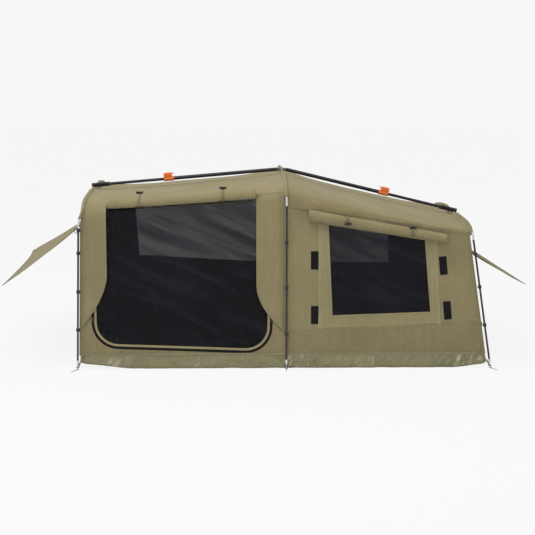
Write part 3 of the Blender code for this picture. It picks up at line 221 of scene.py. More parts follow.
def cloth(u, v):
    """Middle of the cloth and its outward direction. u is 0, 1 and 2 at the three hoops."""
    bay = 0 if u < 1 else 1
    share = u - bay
    point = section(HOOPS[bay], v).lerp(section(HOOPS[bay + 1], v), share)
    hollow = max(1 - abs(2 * share - 1) ** 4, 0.0)
    rise = 0.0
    if 1 < v < 3:
        half = min(v - 1, 3 - v)
        rise = sin(pi / 18 * (half * 10 if half < 0.5 else 1 + half * 8))
    out = Vector((0, copysign(1 - rise, v - 2), rise)).normalized()
    depth = (WALL_SAG + (ROOF_SAG - WALL_SAG) * rise) * sin(pi / 2 * min(v, 4 - v, 1))
    point = point - out * depth * hollow
    if 1 < v < 3:
        point.z += POLE_DIP * exp(-(point.y / DIP_WIDTH) ** 2) * min(hollow * 1.1, 1.0)
    return point, out


def panel(name, columns, rows, size, place, material, thickness=CLOTH):
    """Sheet of cloth: the corner (a, b), both 0 to 1, goes to place(a, b). UVs are in metres."""
    bm = bmesh.new()
    uv = bm.loops.layers.uv.new("Cloth")
    bmesh.ops.create_grid(bm, x_segments=columns, y_segments=rows, size=0.5)
    for face in bm.faces:
        for loop in face.loops:
            loop[uv].uv = ((loop.vert.co.x + 0.5) * size[0], (loop.vert.co.y + 0.5) * size[1])
    for vertex in bm.verts:
        vertex.co = place(vertex.co.x + 0.5, vertex.co.y + 0.5)
    bmesh.ops.recalc_face_normals(bm, faces=bm.faces)
    piece = new_object(name, bm, material)
    skin = piece.modifiers.new("Thickness", "SOLIDIFY")
    skin.thickness = thickness
    skin.offset = 0.0
    return piece


def fix_shape(piece):
    """Applies a piece's modifiers to its mesh."""
    shaped = piece.evaluated_get(bpy.context.evaluated_depsgraph_get())
    mesh = bpy.data.meshes.new_from_object(shaped)
    piece.modifiers.clear()
    piece.data = mesh
    mesh.shade_smooth()
    mesh.set_sharp_from_angle(angle=SMOOTH_ANGLE)


def linear(colour):
    """Linear colour of an sRGB hex value."""
    channels = [int(colour[i:i + 2], 16) / 255 for i in (0, 2, 4)]
    return [c / 12.92 if c <= 0.04045 else ((c + 0.055) / 1.055) ** 2.4 for c in channels] + [1.0]


class Finish:
    """Finish of a cloth, metal or plastic. Its methods add shader nodes and return their outputs."""

    def __init__(self, name, roughness, specular=0.5, metallic=0.0):
        self.material = bpy.data.materials.new(name)
        self.material.use_nodes = True
        self.tree = self.material.node_tree
        self.shader = self.tree.nodes["Principled BSDF"]
        self.set(Roughness=roughness, Specular_IOR_Level=specular, Metallic=metallic)
        place = wire(self.tree, "TexCoord")
        self.uv, self.place = place.outputs["UV"], place.outputs["Object"]

    def set(self, **sockets):
        """Sets or links inputs of the surface shader."""
        for key, value in sockets.items():
            plug(self.tree, value, self.shader.inputs[key.replace("_", " ")])

    def maths(self, operation, *values):
        return maths(self.tree, operation, *values)

    def stretched(self, scale, lean=None):
        """Object coordinates times a scale, or turned about Y by a lean in degrees and divided by it."""
        if lean is None:
            return wire(self.tree, "Mapping", Vector=self.place, Scale=scale).outputs["Vector"]
        return wire(self.tree, "Mapping", {"vector_type": "TEXTURE"}, Vector=self.place,
                    Rotation=(0, radians(lean), 0), Scale=scale).outputs["Vector"]

    def noise(self, scale, detail, roughness=0.5, distortion=0.0, place=None):
        return wire(self.tree, "TexNoise", Vector=place or self.place, Scale=scale, Detail=detail,
                    Roughness=roughness, Distortion=distortion).outputs["Fac"]

    def waves(self, length, direction="X", **sockets):
        """Waves over the UVs, with their length from crest to crest in metres."""
        return wire(self.tree, "TexWave", {"bands_direction": direction}, Vector=self.uv,
                    Scale=2 * pi / 20 / length, **sockets).outputs["Fac"]

    def ramp(self, value, low, high, to_low=0.0, to_high=1.0):
        """One range of a value turned into another one."""
        return wire(self.tree, "MapRange", Value=value, From_Min=low, From_Max=high, To_Min=to_low,
                    To_Max=to_high).outputs["Result"]

    def mix(self, share, first, second, mode="MIX"):
        """Blend of two colours, each a socket, a colour or an sRGB hex value."""
        first, second = [linear(item) if isinstance(item, str) else item for item in (first, second)]
        return wire(self.tree, "MixRGB", {"blend_type": mode}, Fac=share, Color1=first,
                    Color2=second).outputs[0]

    def bump(self, height, strength, distance, **sockets):
        return wire(self.tree, "Bump", Strength=strength, Distance=distance, Height=height,
                    **sockets).outputs["Normal"]


def woven(name, colour, shade, thread=0.0011, soil=0.0, roughness=0.92):
    """Plain-woven canvas: warp and weft, a ripstop grid, mottled dye, painted shade in the weave's valleys,
    and soil near the ground.
    """
    finish = Finish(name, roughness, 0.2)
    finish.set(Sheen_Weight=0.12, Sheen_Roughness=0.5)
    threads = [finish.waves(thread, way, Distortion=0.6, Detail=1.0, Detail_Scale=0.4) for way in "XY"]
    ribs = [finish.ramp(finish.waves(thread * 7, way), 0.86, 1.0) for way in "XY"]
    height = finish.mix(0.5, finish.mix(1.0, *threads, "SCREEN"), finish.mix(1.0, *ribs, "LIGHTEN"), "ADD")
    base = finish.mix(finish.ramp(finish.noise(5.0, 4.0, 0.6), 0.30, 0.70), shade, colour)
    slubs = finish.ramp(finish.noise(160.0, 3.0, 0.7), 0.30, 0.75, 0.88, 1.10)
    lines = finish.noise(1.0, 3.0, 0.6, place=finish.stretched((60.0, 60.0, 4.0)))
    fading = finish.ramp(lines, 0.32, 0.68, 0.95, 1.045)
    # Painted shade: the weave is darker in its valleys and a little lighter on its threads, following its
    # bump height.
    painted_valley_shade = finish.ramp(height, 0.0, 1.0, 0.90, 1.03)
    for tone in (slubs, fading, painted_valley_shade):
        base = finish.mix(1.0, base, tone, "MULTIPLY")
    if soil:
        level = wire(finish.tree, "SeparateXYZ", Vector=finish.place).outputs["Z"]
        low = finish.ramp(level, 0.03, 0.22, soil, 0.0)
        base = finish.mix(finish.maths("MULTIPLY", low, finish.noise(14.0, 5.0)), base, "5f5540")
    puckers = finish.bump(finish.noise(38.0, 3.0, 0.55), 0.35, 0.004)
    finish.set(Base_Color=base, Normal=finish.bump(height, 0.5, 0.0004, Normal=puckers))
    return finish


roof_canvas = woven("roof_canvas", "968b68", "8b805c").material

# The seam between roof and wall as v: at the head hoop and before the middle one, then after the
# middle one and at the foot hoop
HEAD_SEAM = (1.34, 1.17)
FOOT_SEAM = (0.985, 1.02)


def seam_row(u):
    """Row of the roof's lower edge."""
    if u <= 1:
        return HEAD_SEAM[0] + (HEAD_SEAM[1] - HEAD_SEAM[0]) * smooth_step(max(u, 0) * 1.6)
    return FOOT_SEAM[0] + (FOOT_SEAM[1] - FOOT_SEAM[0]) * (u - 1)


def roof_point(u, v):
    """Roof cloth with its long soft creases between the hoops."""
    point, out = cloth(u, v)
    share = u % 1
    crease = noise.noise(Vector((u * 3.1, v * 11, 2.0))) + 0.5 * noise.noise(Vector((u * 9, v * 26, 7.0)))
    pull = noise.noise(Vector((u * 1.7 + v * 5, v * 4 - u, 11.0)))
    fade = min(share, 1 - share, 0.12) / 0.12
    return point + out * (0.0032 * crease + 0.0055 * pull) * fade


BAY_COLUMNS = 120


def along(a, first, last):
    """Share of a sheet's length as u, with two columns close together at the middle hoop."""
    column = round(a * (2 * BAY_COLUMNS + 1))
    if column <= BAY_COLUMNS:
        return first + (0.9995 - first) * column / BAY_COLUMNS
    return 1.0005 + (last - 1.0005) * (column - BAY_COLUMNS - 1) / BAY_COLUMNS


def overhang(v):
    """Roof cloth past an end hoop's axis: a few millimetres at the legs, more at the crown."""
    return 0.007 + 0.010 * smooth_step(1 - abs(v - 2))


def roof_place(a, b):
    low = seam_row(along(a, 0.0, 2.0))
    v = low + (4 - 2 * low) * b
    return roof_point(along(a, -overhang(v) / HEAD_BAY, 2 + overhang(v) / FOOT_BAY), v)


def fasten(piece, body="tent", node=None):
    """Hides the CAD node that a piece replaces, where there is one, and hangs the piece on the empty of the
    body that it rides on.
    """
    if node:
        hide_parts(node)
    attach(piece, body)


roof = panel("roof_skin", 2 * BAY_COLUMNS + 1, 150, (2.12, 1.62), roof_place, roof_canvas)
fix_shape(roof)
fasten(roof, node="roof")


# Side walls
# Canvas from the tub's rim up to the roof's seam. The near wall has the door and a window, the far
# wall a window in each bay. Their end seams stand clear of the end hoops' legs.
wall_canvas = woven("wall_canvas", "978d69", "8b815f", soil=0.35).material
END_CLEAR = (0.006, 0.0125)     # at the head and at the foot
DOOR_LEFT, DOOR_RIGHT = -0.975, -0.064
DOOR_LOW = (0.106, 0.082)           # bottom of the door at its left and right
DOOR_HIGH = (0.812, 0.878)
DOOR_CORNER = 0.135
FRONT_WINDOW = ((0.2375, 0.269), (0.744, 0.286), (0.709, 0.660), (0.214, 0.740))
BACK_WINDOW_HEAD = ((-0.858, 0.403), (-0.060, 0.357), (-0.070, 0.770), (-0.878, 0.690))
BACK_WINDOW_FOOT = ((0.075, 0.357), (0.698, 0.353), (0.690, 0.628), (0.075, 0.748))


def door_outline(inset):
    """Points of the door's opening, from its top left round the bottom to its top right."""
    left, right, radius = DOOR_LEFT + inset, DOOR_RIGHT - inset, DOOR_CORNER - inset
    points = [(left, DOOR_HIGH[0])]
    for centre_x, low, start in ((left + radius, DOOR_LOW[0], pi), (right - radius, DOOR_LOW[1], 1.5 * pi)):
        for step in range(17):
            turn = start + pi / 2 * step / 16
            points.append((centre_x + radius * cos(turn), low + DOOR_CORNER + radius * sin(turn)))
    points.append((right, DOOR_HIGH[1]))
    return points


def cut_through(piece, outline, low, high, axis="Y"):
    """Cuts an outline right through a sheet: x and z along y, or y and z along x."""
    bm = bmesh.new()
    ring = [bm.verts.new((a, low, b) if axis == "Y" else (low, a, b)) for a, b in outline]
    face = bm.faces.new(ring)
    sides = bmesh.ops.extrude_face_region(bm, geom=[face])
    moved = [item for item in sides["geom"] if isinstance(item, bmesh.types.BMVert)]
    bmesh.ops.translate(bm, verts=moved, vec=(0, high - low, 0) if axis == "Y" else (high - low, 0, 0))
    bmesh.ops.recalc_face_normals(bm, faces=bm.faces)
    knife = new_object("knife", bm)
    modifier = piece.modifiers.new("Cut", "BOOLEAN")
    modifier.operation = "DIFFERENCE"
    modifier.solver = "EXACT"
    modifier.object = knife
    fix_shape(piece)
    bpy.data.objects.remove(knife)


def wall_point(u, v, near):
    """Wall cloth with faint upright pleats; v runs from the rim up on both sides."""
    point, out = cloth(u, v if near else 4 - v)
    share = u % 1
    fade = min(share, 1 - share, 0.1) / 0.1 * min(v * 5, 1)
    pleat = noise.noise(Vector((u * 14, v * 1.3, 3.0 if near else 5.0)))
    pull = noise.noise(Vector((u * 4 + v * 2, v * 3 - u * 2, 8.0 if near else 9.0)))
    return point + out * (0.0018 * pleat + 0.0024 * pull) * fade


for name, near, openings, cut_area in (
    ("front_wall", True, (door_outline(0.0), FRONT_WINDOW), 0.72),
    ("back_wall", False, (BACK_WINDOW_HEAD, BACK_WINDOW_FOOT), 1.10),
):
    def wall_place(a, b):
        u = along(a, END_CLEAR[0] / HEAD_BAY, 2 - END_CLEAR[1] / FOOT_BAY)
        return wall_point(u, seam_row(u) * b, near)

    wall = panel(name + "_skin", 2 * BAY_COLUMNS + 1, 90, (2.04, 0.82), wall_place, wall_canvas)
    fix_shape(wall)
    for outline in openings:
        cut_through(wall, outline, *((-1.0, -0.3) if near else (0.3, 1.0)))
    fasten(wall, node=name)


# End walls
# Canvas inside the end hoops, from the tub's rim up to the roof, each with a wide window. It follows
# the hoop's lean at the shoulders.
END_SHIFT = 0.0163          # from an end hoop's plane to the middle of its wall
END_EDGE = 0.0029
END_WINDOWS = {"head": (0.526, 0.300, 0.665), "foot": (0.526, 0.300, 0.540)}
ENDS = {"head": (0, 1, END_SHIFT / HEAD_BAY), "foot": (2, -1, 2 - END_SHIFT / FOOT_BAY)}


def end_wall_at(end, y, z):
    """Point of an end wall at a width and a height, with soft upright folds."""
    hoop_index, inward, _ = ENDS[end]
    foot_x, top_x, top_z, crown_x, crown_z = HOOPS[hoop_index]
    rise = max(z - top_z, 0.0) / (crown_z + POLE_DIP - top_z)
    x = foot_x + (top_x - foot_x) * min(z / top_z, 1.0) + (crown_x - top_x) * rise + inward * END_SHIFT
    x += shoulder_lean(HOOPS[hoop_index], y, rise)
    fade = min((0.69 - abs(y)) / 0.1, (z - TUB_RIM) / 0.1, 1.0)
    fold = noise.noise(Vector((y * 7, z * 1.2, 20.0 + hoop_index)))
    fold += 0.5 * noise.noise(Vector((y * 22, z * 3, 3.0)))
    return Vector((x - inward * 0.0015 * fold * max(fade, 0.0), y, z))


for end, (hoop_index, inward, end_u) in ENDS.items():
    def end_place(a, b):
        point, out = cloth(end_u, 1 + 2 * a)
        top = point - out * END_EDGE
        return end_wall_at(end, top.y, TUB_RIM + (top.z - TUB_RIM) * b)

    half, low, high = END_WINDOWS[end]
    window = ((-half, low), (half, low), (half, high), (-half, high))
    wall = panel(end + "_wall_skin", 140, 70, (1.37, 0.80), end_place, wall_canvas)
    fix_shape(wall)
    reach = sorted((HOOPS[hoop_index][0] * 0.8, HOOPS[hoop_index][0] * 1.2))
    cut_through(wall, window, reach[0], reach[1], "X")
    fasten(wall, node=end + "_wall")


# Insect mesh
# Fine black knit in the door and in every window. It covers least where it is seen straight on, and its
# slanted folds cover more and carry a painted highlight.
def knitted(name, low_cover):
    """Black knit: two crossing waves for the threads, soft folds with a painted highlight, painted light on
    the thread crossings, and light let through.
    """
    finish = Finish(name, 0.85, 0.25)
    facing = wire(finish.tree, "LayerWeight", Blend=0.30).outputs["Facing"]
    cover = finish.ramp(facing, 0.25, 0.75, low_cover, 0.97)
    knit = finish.mix(1.0, *[finish.waves(0.0016, way, Distortion=0.5) for way in "XY"], "MULTIPLY")
    fold = finish.noise(1.6, 3.0, 0.5, 0.6, finish.stretched((0.75, 1.0, 0.11), 24))
    opaque = finish.mix(finish.ramp(fold, 0.47, 0.66, 0.0, 0.34), cover, (1.0, 1.0, 1.0, 1.0))
    base = finish.mix(finish.ramp(finish.noise(3.0, 3.0), 0.35, 0.65), "0b0b14", "171721")
    # Painted highlight: the crests of the folds are lighter.
    base = finish.mix(finish.ramp(fold, 0.52, 0.72, 0.0, 0.28), base, "34343f")
    # Painted light: the raised thread crossings are lighter than the gaps between them.
    base = finish.mix(knit, base, "232327")
    swell = finish.bump(fold, 0.6, 0.02)
    finish.set(Alpha=opaque, Base_Color=base, Normal=finish.bump(knit, 0.5, 0.0004, Normal=swell))
    return finish.material


insect_mesh = knitted("insect_mesh", 0.515)
window_mesh = knitted("window_mesh", 0.69)


def row_search(x, z, near=True):
    """Halving search for a side wall's row at an x and a height: its lower bound and its last try."""
    low, high = 0.0, 1.6
    for _ in range(22):
        v = (low + high) / 2
        if wall_point(u_at(x, v), v, near).z < z:
            low = v
        else:
            high = v
    return low, v


def wall_at(x, z, near=True):
    """Point and outward direction of a side wall at an x and a height."""
    v = row_search(x, z, near)[1]
    u = u_at(x, v)
    return wall_point(u, v, near), cloth(u, v if near else 4 - v)[1]


def u_at(x, v):
    """Bay coordinate of an x on the cloth's row v."""
    bay = 0 if x < section(HOOPS[1], v).x else 1
    first, last = section(HOOPS[bay], v).x, section(HOOPS[bay + 1], v).x
    return bay + (x - first) / (last - first)


def in_window(corners, a, b):
    """Point between four corners, which run from the lower left round to the upper left."""
    low_x = corners[0][0] + (corners[1][0] - corners[0][0]) * a
    low_z = corners[0][1] + (corners[1][1] - corners[0][1]) * a
    high_x = corners[3][0] + (corners[2][0] - corners[3][0]) * a
    high_z = corners[3][1] + (corners[2][1] - corners[3][1]) * a
    return low_x + (high_x - low_x) * b, low_z + (high_z - low_z) * b


def mesh_sheet(node, size, place):
    knit = window_mesh if node == "front_window_mesh" else insect_mesh
    sheet = panel(node + "_skin", 60, 40, size, place, knit, 0.0006)
    fasten(sheet, node=node)


ZIP_INSET = 0.0103


def door_place(a, b):
    left, right, radius = DOOR_LEFT + ZIP_INSET, DOOR_RIGHT - ZIP_INSET, DOOR_CORNER - ZIP_INSET
    x = left + (right - left) * a
    side = min(x - left, right - x)
    bend = radius - sqrt(max(radius ** 2 - max(radius - side, 0) ** 2, 0.0))
    bottom = DOOR_LOW[0] + (DOOR_LOW[1] - DOOR_LOW[0]) * a + ZIP_INSET + bend
    top = DOOR_HIGH[0] + (DOOR_HIGH[1] - DOOR_HIGH[0]) * a
    point, out = wall_at(x, bottom + (top - bottom) * b)
    ripple = 0.0025 * noise.noise(Vector((x * 6, b * 3, 1.0))) * min(a * 8, 8 - a * 8, b * 8, 8 - b * 8, 1)
    return point - out * (0.0004 - ripple)


mesh_sheet("door_mesh", (0.89, 0.75), door_place)
for name, corners, near, size, area in (
    ("front_window_mesh", FRONT_WINDOW, True, (0.50, 0.45), 0.195),
    ("back_window_mesh_head", BACK_WINDOW_HEAD, False, (0.81, 0.42), 0.285),
    ("back_window_mesh_foot", BACK_WINDOW_FOOT, False, (0.63, 0.40), 0.205),
):
    def window_place(a, b):
        x, z = in_window(corners, a, b)
        point, out = wall_at(x, z, near)
        return point - out * 0.0004

    mesh_sheet(name, size, window_place)
for end, (half, low, high) in END_WINDOWS.items():
    def end_mesh_place(a, b):
        return end_wall_at(end, half * (2 * a - 1), low + (high - low) * b)

    mesh_sheet(end + "_window_mesh", (2 * half, high - low), end_mesh_place)


# Storm flaps
# Loose canvas strips over the door's zip, each sewn to the wall along one edge. Their free edges run
# straight down and then curve back to the seam.
FLAP_LIFT = 0.010
FLAP_PROFILE = ((0.0, 0.0), (0.24, 0.92), (0.7, 1.0), (1.0, 0.8))
# Each flap: its hoop, the seam's distance from it, x of the free edge, heights of its bend and its
# lower end, row of its upper end, and how sharply the free edge curves in
STORM_FLAPS = {
    "head": (0, 0.0195, -0.894, 0.480, 0.222, 1.318, 1.75),
    "foot": (1, -0.0135, -0.144, 0.440, 0.196, 1.158, 1.95),
}


def profile_at(profile, share):
    """Smooth value of a list of (share, value) points."""
    for first, last in zip(profile, profile[1:]):
        if share <= last[0]:
            return first[1] + (last[1] - first[1]) * smooth_step((share - first[0]) / (last[0] - first[0]))
    return profile[-1][1]


for end, (beside, step_in, edge_x, bend, low_end, top_row, power) in STORM_FLAPS.items():
    low_row = row_search(HOOPS[beside][0] + step_in, low_end)[0]

    def storm_place(a, b):
        v = low_row + (top_row - low_row) * b ** 1.5
        sewn_x = section(HOOPS[beside], v).x + step_in
        z = wall_point(u_at(sewn_x, v), v, True).z
        width = 1.0 if z >= bend else max(1 - ((bend - z) / (bend - low_end)) ** power, 0.04)
        x = sewn_x + (edge_x - sewn_x) * width * a
        u = u_at(x, v)
        _, out = cloth(u, v)
        wave = 0.0012 * noise.noise(Vector((a * 2, z * 9, 30.0))) * a
        lift = 0.0013 + (FLAP_LIFT - 0.0007) * profile_at(FLAP_PROFILE, a) + max(wave, -0.001)
        return wall_point(u, v, True) + out * (lift + 0.0007)

    flap = panel(f"storm_flap_{end}_skin", 32, 90, (0.13, 0.66), storm_place, wall_canvas, 0.0012)
    fasten(flap, node="storm_flap_" + end)


# Rolled-up canvas
# The door's and the windows' covers, rolled up tight and tied over their openings. Each is a spiral
# of cloth, drawn in at its toggles.
ROLL_PITCH = 0.0032         # from one turn to the next
# Each roll: x of its ends, radius and row at both ends, its wall, the length of its cloth, and how
# many times as high as deep it is
ROLLS = {
    "door_roll": (-0.886, -0.146, 0.0225, 0.0225, 1.300, 1.215, True, 0.60, 1.35),
    "window_roll": (0.118, 0.812, 0.0240, 0.0185, 0.953, 0.955, True, 0.46, 1.22),
    "back_roll_head": (-0.900, -0.060, 0.0185, 0.0185, 0.940, 0.940, False, 0.32, 1.10),
    "back_roll_foot": (0.075, 0.760, 0.0185, 0.0185, 0.940, 0.940, False, 0.32, 1.10),
}
# Where the toggles sit: share along the roll, height on it from -1 to 1, and lift above it
TOGGLES = {
    "door_roll": ((0.213, 1.0, 0.018), (0.778, 1.0, 0.008)),
    "window_roll": ((0.280, -0.28, 0.0), (0.752, 0.90, 0.0)),
    "back_roll_head": ((0.22, 1.0, 0.0), (0.78, 1.0, 0.0)),
    "back_roll_foot": ((0.22, 1.0, 0.0), (0.78, 1.0, 0.0)),
}


def roll_centre(name, share):
    """Axis point of a roll, its outward direction, its downward direction and its radius."""
    start, end, first_radius, last_radius, first_row, last_row, near = ROLLS[name][:7]
    x, v = start + (end - start) * share, first_row + (last_row - first_row) * share
    u = u_at(x, v)
    point, out = cloth(u, v if near else 4 - v)
    radius = first_radius + (last_radius - first_radius) * share
    return point + out * (radius + 0.0012), out, Vector((1, 0, 0)).cross(out), radius


for name, (start, end, first_radius, last_radius, _, _, near, cut_length, height) in ROLLS.items():
    turns = (min(first_radius, last_radius) - 0.006) / ROLL_PITCH

    def roll_place(a, b):
        centre, out, down, radius = roll_centre(name, a)
        drawn = sum(max(1 - abs(a - spot) / 0.05, 0.0) ** 1.5 for spot, _, _ in TOGGLES[name])
        size = radius * (1 - 0.16 * drawn) - ROLL_PITCH * turns * (1 - b) - 0.0006
        turn = 2 * pi * turns * (b - 1) + 2.4
        spot = Vector((a * 16, cos(turn) * 1.6, sin(turn) * 1.6))
        size *= 1 + 0.030 * noise.noise(spot) + 0.02 * noise.noise(spot * 3)
        return centre + out * (size * cos(turn)) + down * (size * height * sin(turn))

    size = (end - start, cut_length)
    roll = panel(name + "_skin", 110, int(turns * 22), size, roll_place, wall_canvas, 0.0010)
    fasten(roll, node=name)


# Awnings
# The covers of the end windows, held out as awnings. Each is hinged at a hem over its window, and
# its outer edge is hollow.
AWNING_HALF = 0.60
# Each awning: height of its hem, length and slope of both sides, its way out, and x of the hinge
AWNINGS = {
    "head": (0.740, (0.530, radians(37.5)), (0.570, radians(31.5)), -1, -1.01870),
    "foot": (0.598, (0.348, radians(31.5)), (0.348, radians(31.5)), 1, 0.94437),
}


def awning_point(end, a, b):
    """Point of an awning: a runs from its near to its far side, b from the hem outwards."""
    height, near_side, far_side, outward, hinge_x = AWNINGS[end]
    hollow = 4 * a * (1 - a)
    length = near_side[0] + (far_side[0] - near_side[0]) * a - 0.045 * hollow * b
    slope = near_side[1] + (far_side[1] - near_side[1]) * a
    run = Vector((outward * cos(slope), 0, -sin(slope)))
    below = Vector((-outward * sin(slope), 0, -cos(slope)))
    sag = 0.014 * sin(pi * b) * (0.6 + 0.4 * hollow)
    crease = 0.003 * noise.noise(Vector((a * 6 - b * 2, b * 3, 40.0))) * sin(pi * b)
    hinge = Vector((hinge_x, (2 * a - 1) * AWNING_HALF, height))
    return hinge + run * (length * b + 0.002) + below * (sag + crease)


for end, (_, near_side, _, _, _) in AWNINGS.items():
    def awning_place(a, b):
        return awning_point(end, a, b)

    awning = panel(f"awning_{end}_skin", 100, 60, (1.20, near_side[0]), awning_place, wall_canvas, 0.0014)
    fasten(awning, "awning_" + end, end + "_flap")


# Tub
# Coated fabric, welded into a tray: a flat floor, round corners and upstanding walls. It is stiffer
# and shinier than the canvas, and crumples where it turns up from the ground.
TUB_FLOOR_TURN = 0.016
TUB_CORNER = 0.045
TUB_SKIN = 0.0020
TUB_HALF_Y = 0.6860
TUB_ENDS = (-1.044, 1.041)
TUB_END_LEAN = (0.002, -0.0113)         # how far the rim leans at the head and at the foot
END_FROM = 0.98                         # an end's wall starts this far from the middle


def coated(name, colour, shade):
    """Olive coated fabric: soft sheen, faint scrim of the base cloth, crumples and scuffs, with painted
    highlights on the crests of its creases and painted shade in the creases.
    """
    finish = Finish(name, 0.42, 0.5)
    scuff = finish.noise(45.0, 6.0, 0.7)
    # Stretched, leaning noise that places the painted highlights on the creases' crests and the painted shade
    # in the creases.
    crease_highlight_and_shade = finish.noise(1.0, 3.0, 0.5, 1.2, finish.stretched((0.022, 0.05, 0.075), 32))
    # Painted highlight: pale streaks along the crease crests, in patches.
    painted_crest_highlight = finish.mix(1.0, finish.ramp(crease_highlight_and_shade, 0.56, 0.68, 0.0, 0.8),
                       finish.ramp(finish.noise(3.0, 1.0), 0.46, 0.60), "MULTIPLY")
    base = finish.mix(finish.ramp(finish.noise(9.0, 5.0, 0.6), 0.35, 0.68), shade, colour)
    base = finish.mix(finish.ramp(scuff, 0.58, 0.72, 0.0, 0.35), base, "a09c80")
    base = finish.mix(painted_crest_highlight, base, "c6c3ac")
    # Painted shade: darker streaks in the creases between the painted highlights.
    base = finish.mix(finish.ramp(crease_highlight_and_shade, 0.40, 0.28, 0.0, 0.35), base, "565339")
    folds = finish.bump(finish.noise(26.0, 4.0, 0.6, 0.8), 0.85, 0.014)
    finish.set(Base_Color=base, Roughness=finish.ramp(scuff, 0.3, 0.7, 0.20, 0.50),
               Normal=finish.bump(finish.waves(0.0016), 0.25, 0.0003, Normal=folds))
    return finish.material


tub_fabric = coated("tub_fabric", "8e8965", "7f7a58")


def tub_side(way, inset):
    """Point of the tub's outline, moved inwards: way runs from 0 to 1 round it, from the near left."""
    half_y = TUB_HALF_Y - inset
    left, right = TUB_ENDS[0] + inset, TUB_ENDS[1] - inset
    radius = max(TUB_CORNER - inset, 0.004)
    long_side, short_side, arc = right - left - 2 * radius, 2 * half_y - 2 * radius, radius * pi / 2
    run = (way % 1) * 2 * (long_side + short_side + 2 * arc)
    stretches = (
        (long_side, (left + radius, -half_y), (1, 0)),
        (arc, (right - radius, -half_y + radius), -pi / 2),
        (short_side, (right, -half_y + radius), (0, 1)),
        (arc, (right - radius, half_y - radius), 0.0),
        (long_side, (right - radius, half_y), (-1, 0)),
        (arc, (left + radius, half_y - radius), pi / 2),
        (short_side, (left, half_y - radius), (0, -1)),
        (arc, (left + radius, -half_y + radius), pi),
    )
    for length, start, heading in stretches:
        if run <= length:
            break
        run -= length
    if isinstance(heading, tuple):
        return Vector((start[0] + heading[0] * run, start[1] + heading[1] * run, 0.0))
    turn = heading + run / radius
    return Vector((start[0] + radius * cos(turn), start[1] + radius * sin(turn), 0.0))


def corner_lift(flat):
    """How far a corner of the tub is drawn up off the ground, from 0 to 1."""
    width = 0.30 if flat.x < 0 else 0.20
    reach = hypot(max(TUB_ENDS[1] - abs(flat.x), 0) / width, max(TUB_HALF_Y - abs(flat.y), 0) / width)
    return (1.0 if flat.x < 0 else 0.72) * (1 - smooth_step(reach))


def tub_place(a, b):
    """Tub skin: b runs from the rim down the wall, round the turn and in over the ground."""
    wall = TUB_RIM + 0.006 - TUB_FLOOR_TURN
    turn_length, floor_length = TUB_FLOOR_TURN * pi / 2, 0.05
    run = b * (wall + turn_length + floor_length)
    if run < wall:
        inset, height = 0.0, TUB_RIM + 0.006 - run
    elif run < wall + turn_length:
        angle = (run - wall) / TUB_FLOOR_TURN
        inset, height = TUB_FLOOR_TURN * (1 - cos(angle)), TUB_FLOOR_TURN * (1 - sin(angle))
    else:
        inset, height = TUB_FLOOR_TURN + run - wall - turn_length, 0.0
    flat = tub_side(a, inset)
    outer = tub_side(a, inset + 0.01)
    away = (flat - outer).normalized()
    low = smooth_step(1 - height / TUB_RIM)
    spot = Vector((flat.x * 13, flat.y * 13, height * 22))
    crumple = 1 - 2 * abs(noise.noise(spot)) + 0.6 * noise.noise(spot * 2.7)
    lean = 0.5 * (1 + flat.x / TUB_ENDS[1])
    height += 0.004 * low * max(noise.noise(Vector((flat.x * 9, flat.y * 9, 4.0))), 0.0)
    height += 0.026 * (1 - height / TUB_RIM) * corner_lift(flat)
    x_lean = TUB_END_LEAN[1] * height / TUB_RIM * lean if flat.x > 0 else TUB_END_LEAN[0] * height / TUB_RIM
    x_lean = x_lean if abs(flat.x) > END_FROM else 0.0
    deep = 0.0028 + 0.0022 * smooth_step(flat.x)
    point = Vector((flat.x + x_lean, flat.y, max(height, TUB_SKIN / 2)))
    return point + away * (low * deep * crumple - 0.0004)


tub = panel("tub_skin", 560, 24, (6.9, 0.15), tub_place, tub_fabric, TUB_SKIN)
bm = bmesh.new()
bm.from_mesh(tub.data)
bmesh.ops.remove_doubles(bm, verts=bm.verts, dist=0.0005)
inner_edges = [edge for edge in bm.edges if edge.is_boundary and edge.verts[0].co.z < 0.05]
bmesh.ops.holes_fill(bm, edges=inner_edges, sides=0)
bmesh.ops.recalc_face_normals(bm, faces=bm.faces)
bm.to_mesh(tub.data)
bm.free()
fix_shape(tub)
fasten(tub, node="base_tub")


# Seams
# Folded canvas tapes with two rows of lock stitch: round the tub's rim, along the eaves, up the
# corners of the walls, and across the near wall of the foot bay.
NARROW_ROWS = (0.0025, 0.0095)      # rows of stitches across a tape of 12 mm, and of 18 mm
WIDE_ROWS = (0.0025, 0.0155)
SEAM_WIDTH, SEAM_DOME = 0.012, 0.0004
SIDE_NAMES = {True: "near", False: "far"}           # by whether it is the near wall


def add_tape(name, path, width, height, material, body="tent"):
    """Flat strip along a path of (point, outward direction), a little domed, and hung on a body."""
    length = sum((q[0] - p[0]).length for p, q in zip(path, path[1:]))

    def place(a, b):
        at = a * (len(path) - 1)
        low = min(int(at), len(path) - 2)
        share = at - low
        point, out = path[low][0].lerp(path[low + 1][0], share), path[low][1].lerp(path[low + 1][1], share)
        before, after = path[max(low - 1, 0)][0], path[min(low + 2, len(path) - 1)][0]
        across = out.cross(after - before).normalized()
        dome = height * (1 - abs(2 * b - 1) ** 4)
        return point + across * (b - 0.5) * width + out.normalized() * dome

    strip = panel(name, (len(path) - 1) * 2, 4, (length, width), place, material, 0.0008)
    fix_shape(strip)
    fasten(strip, body)
    return strip


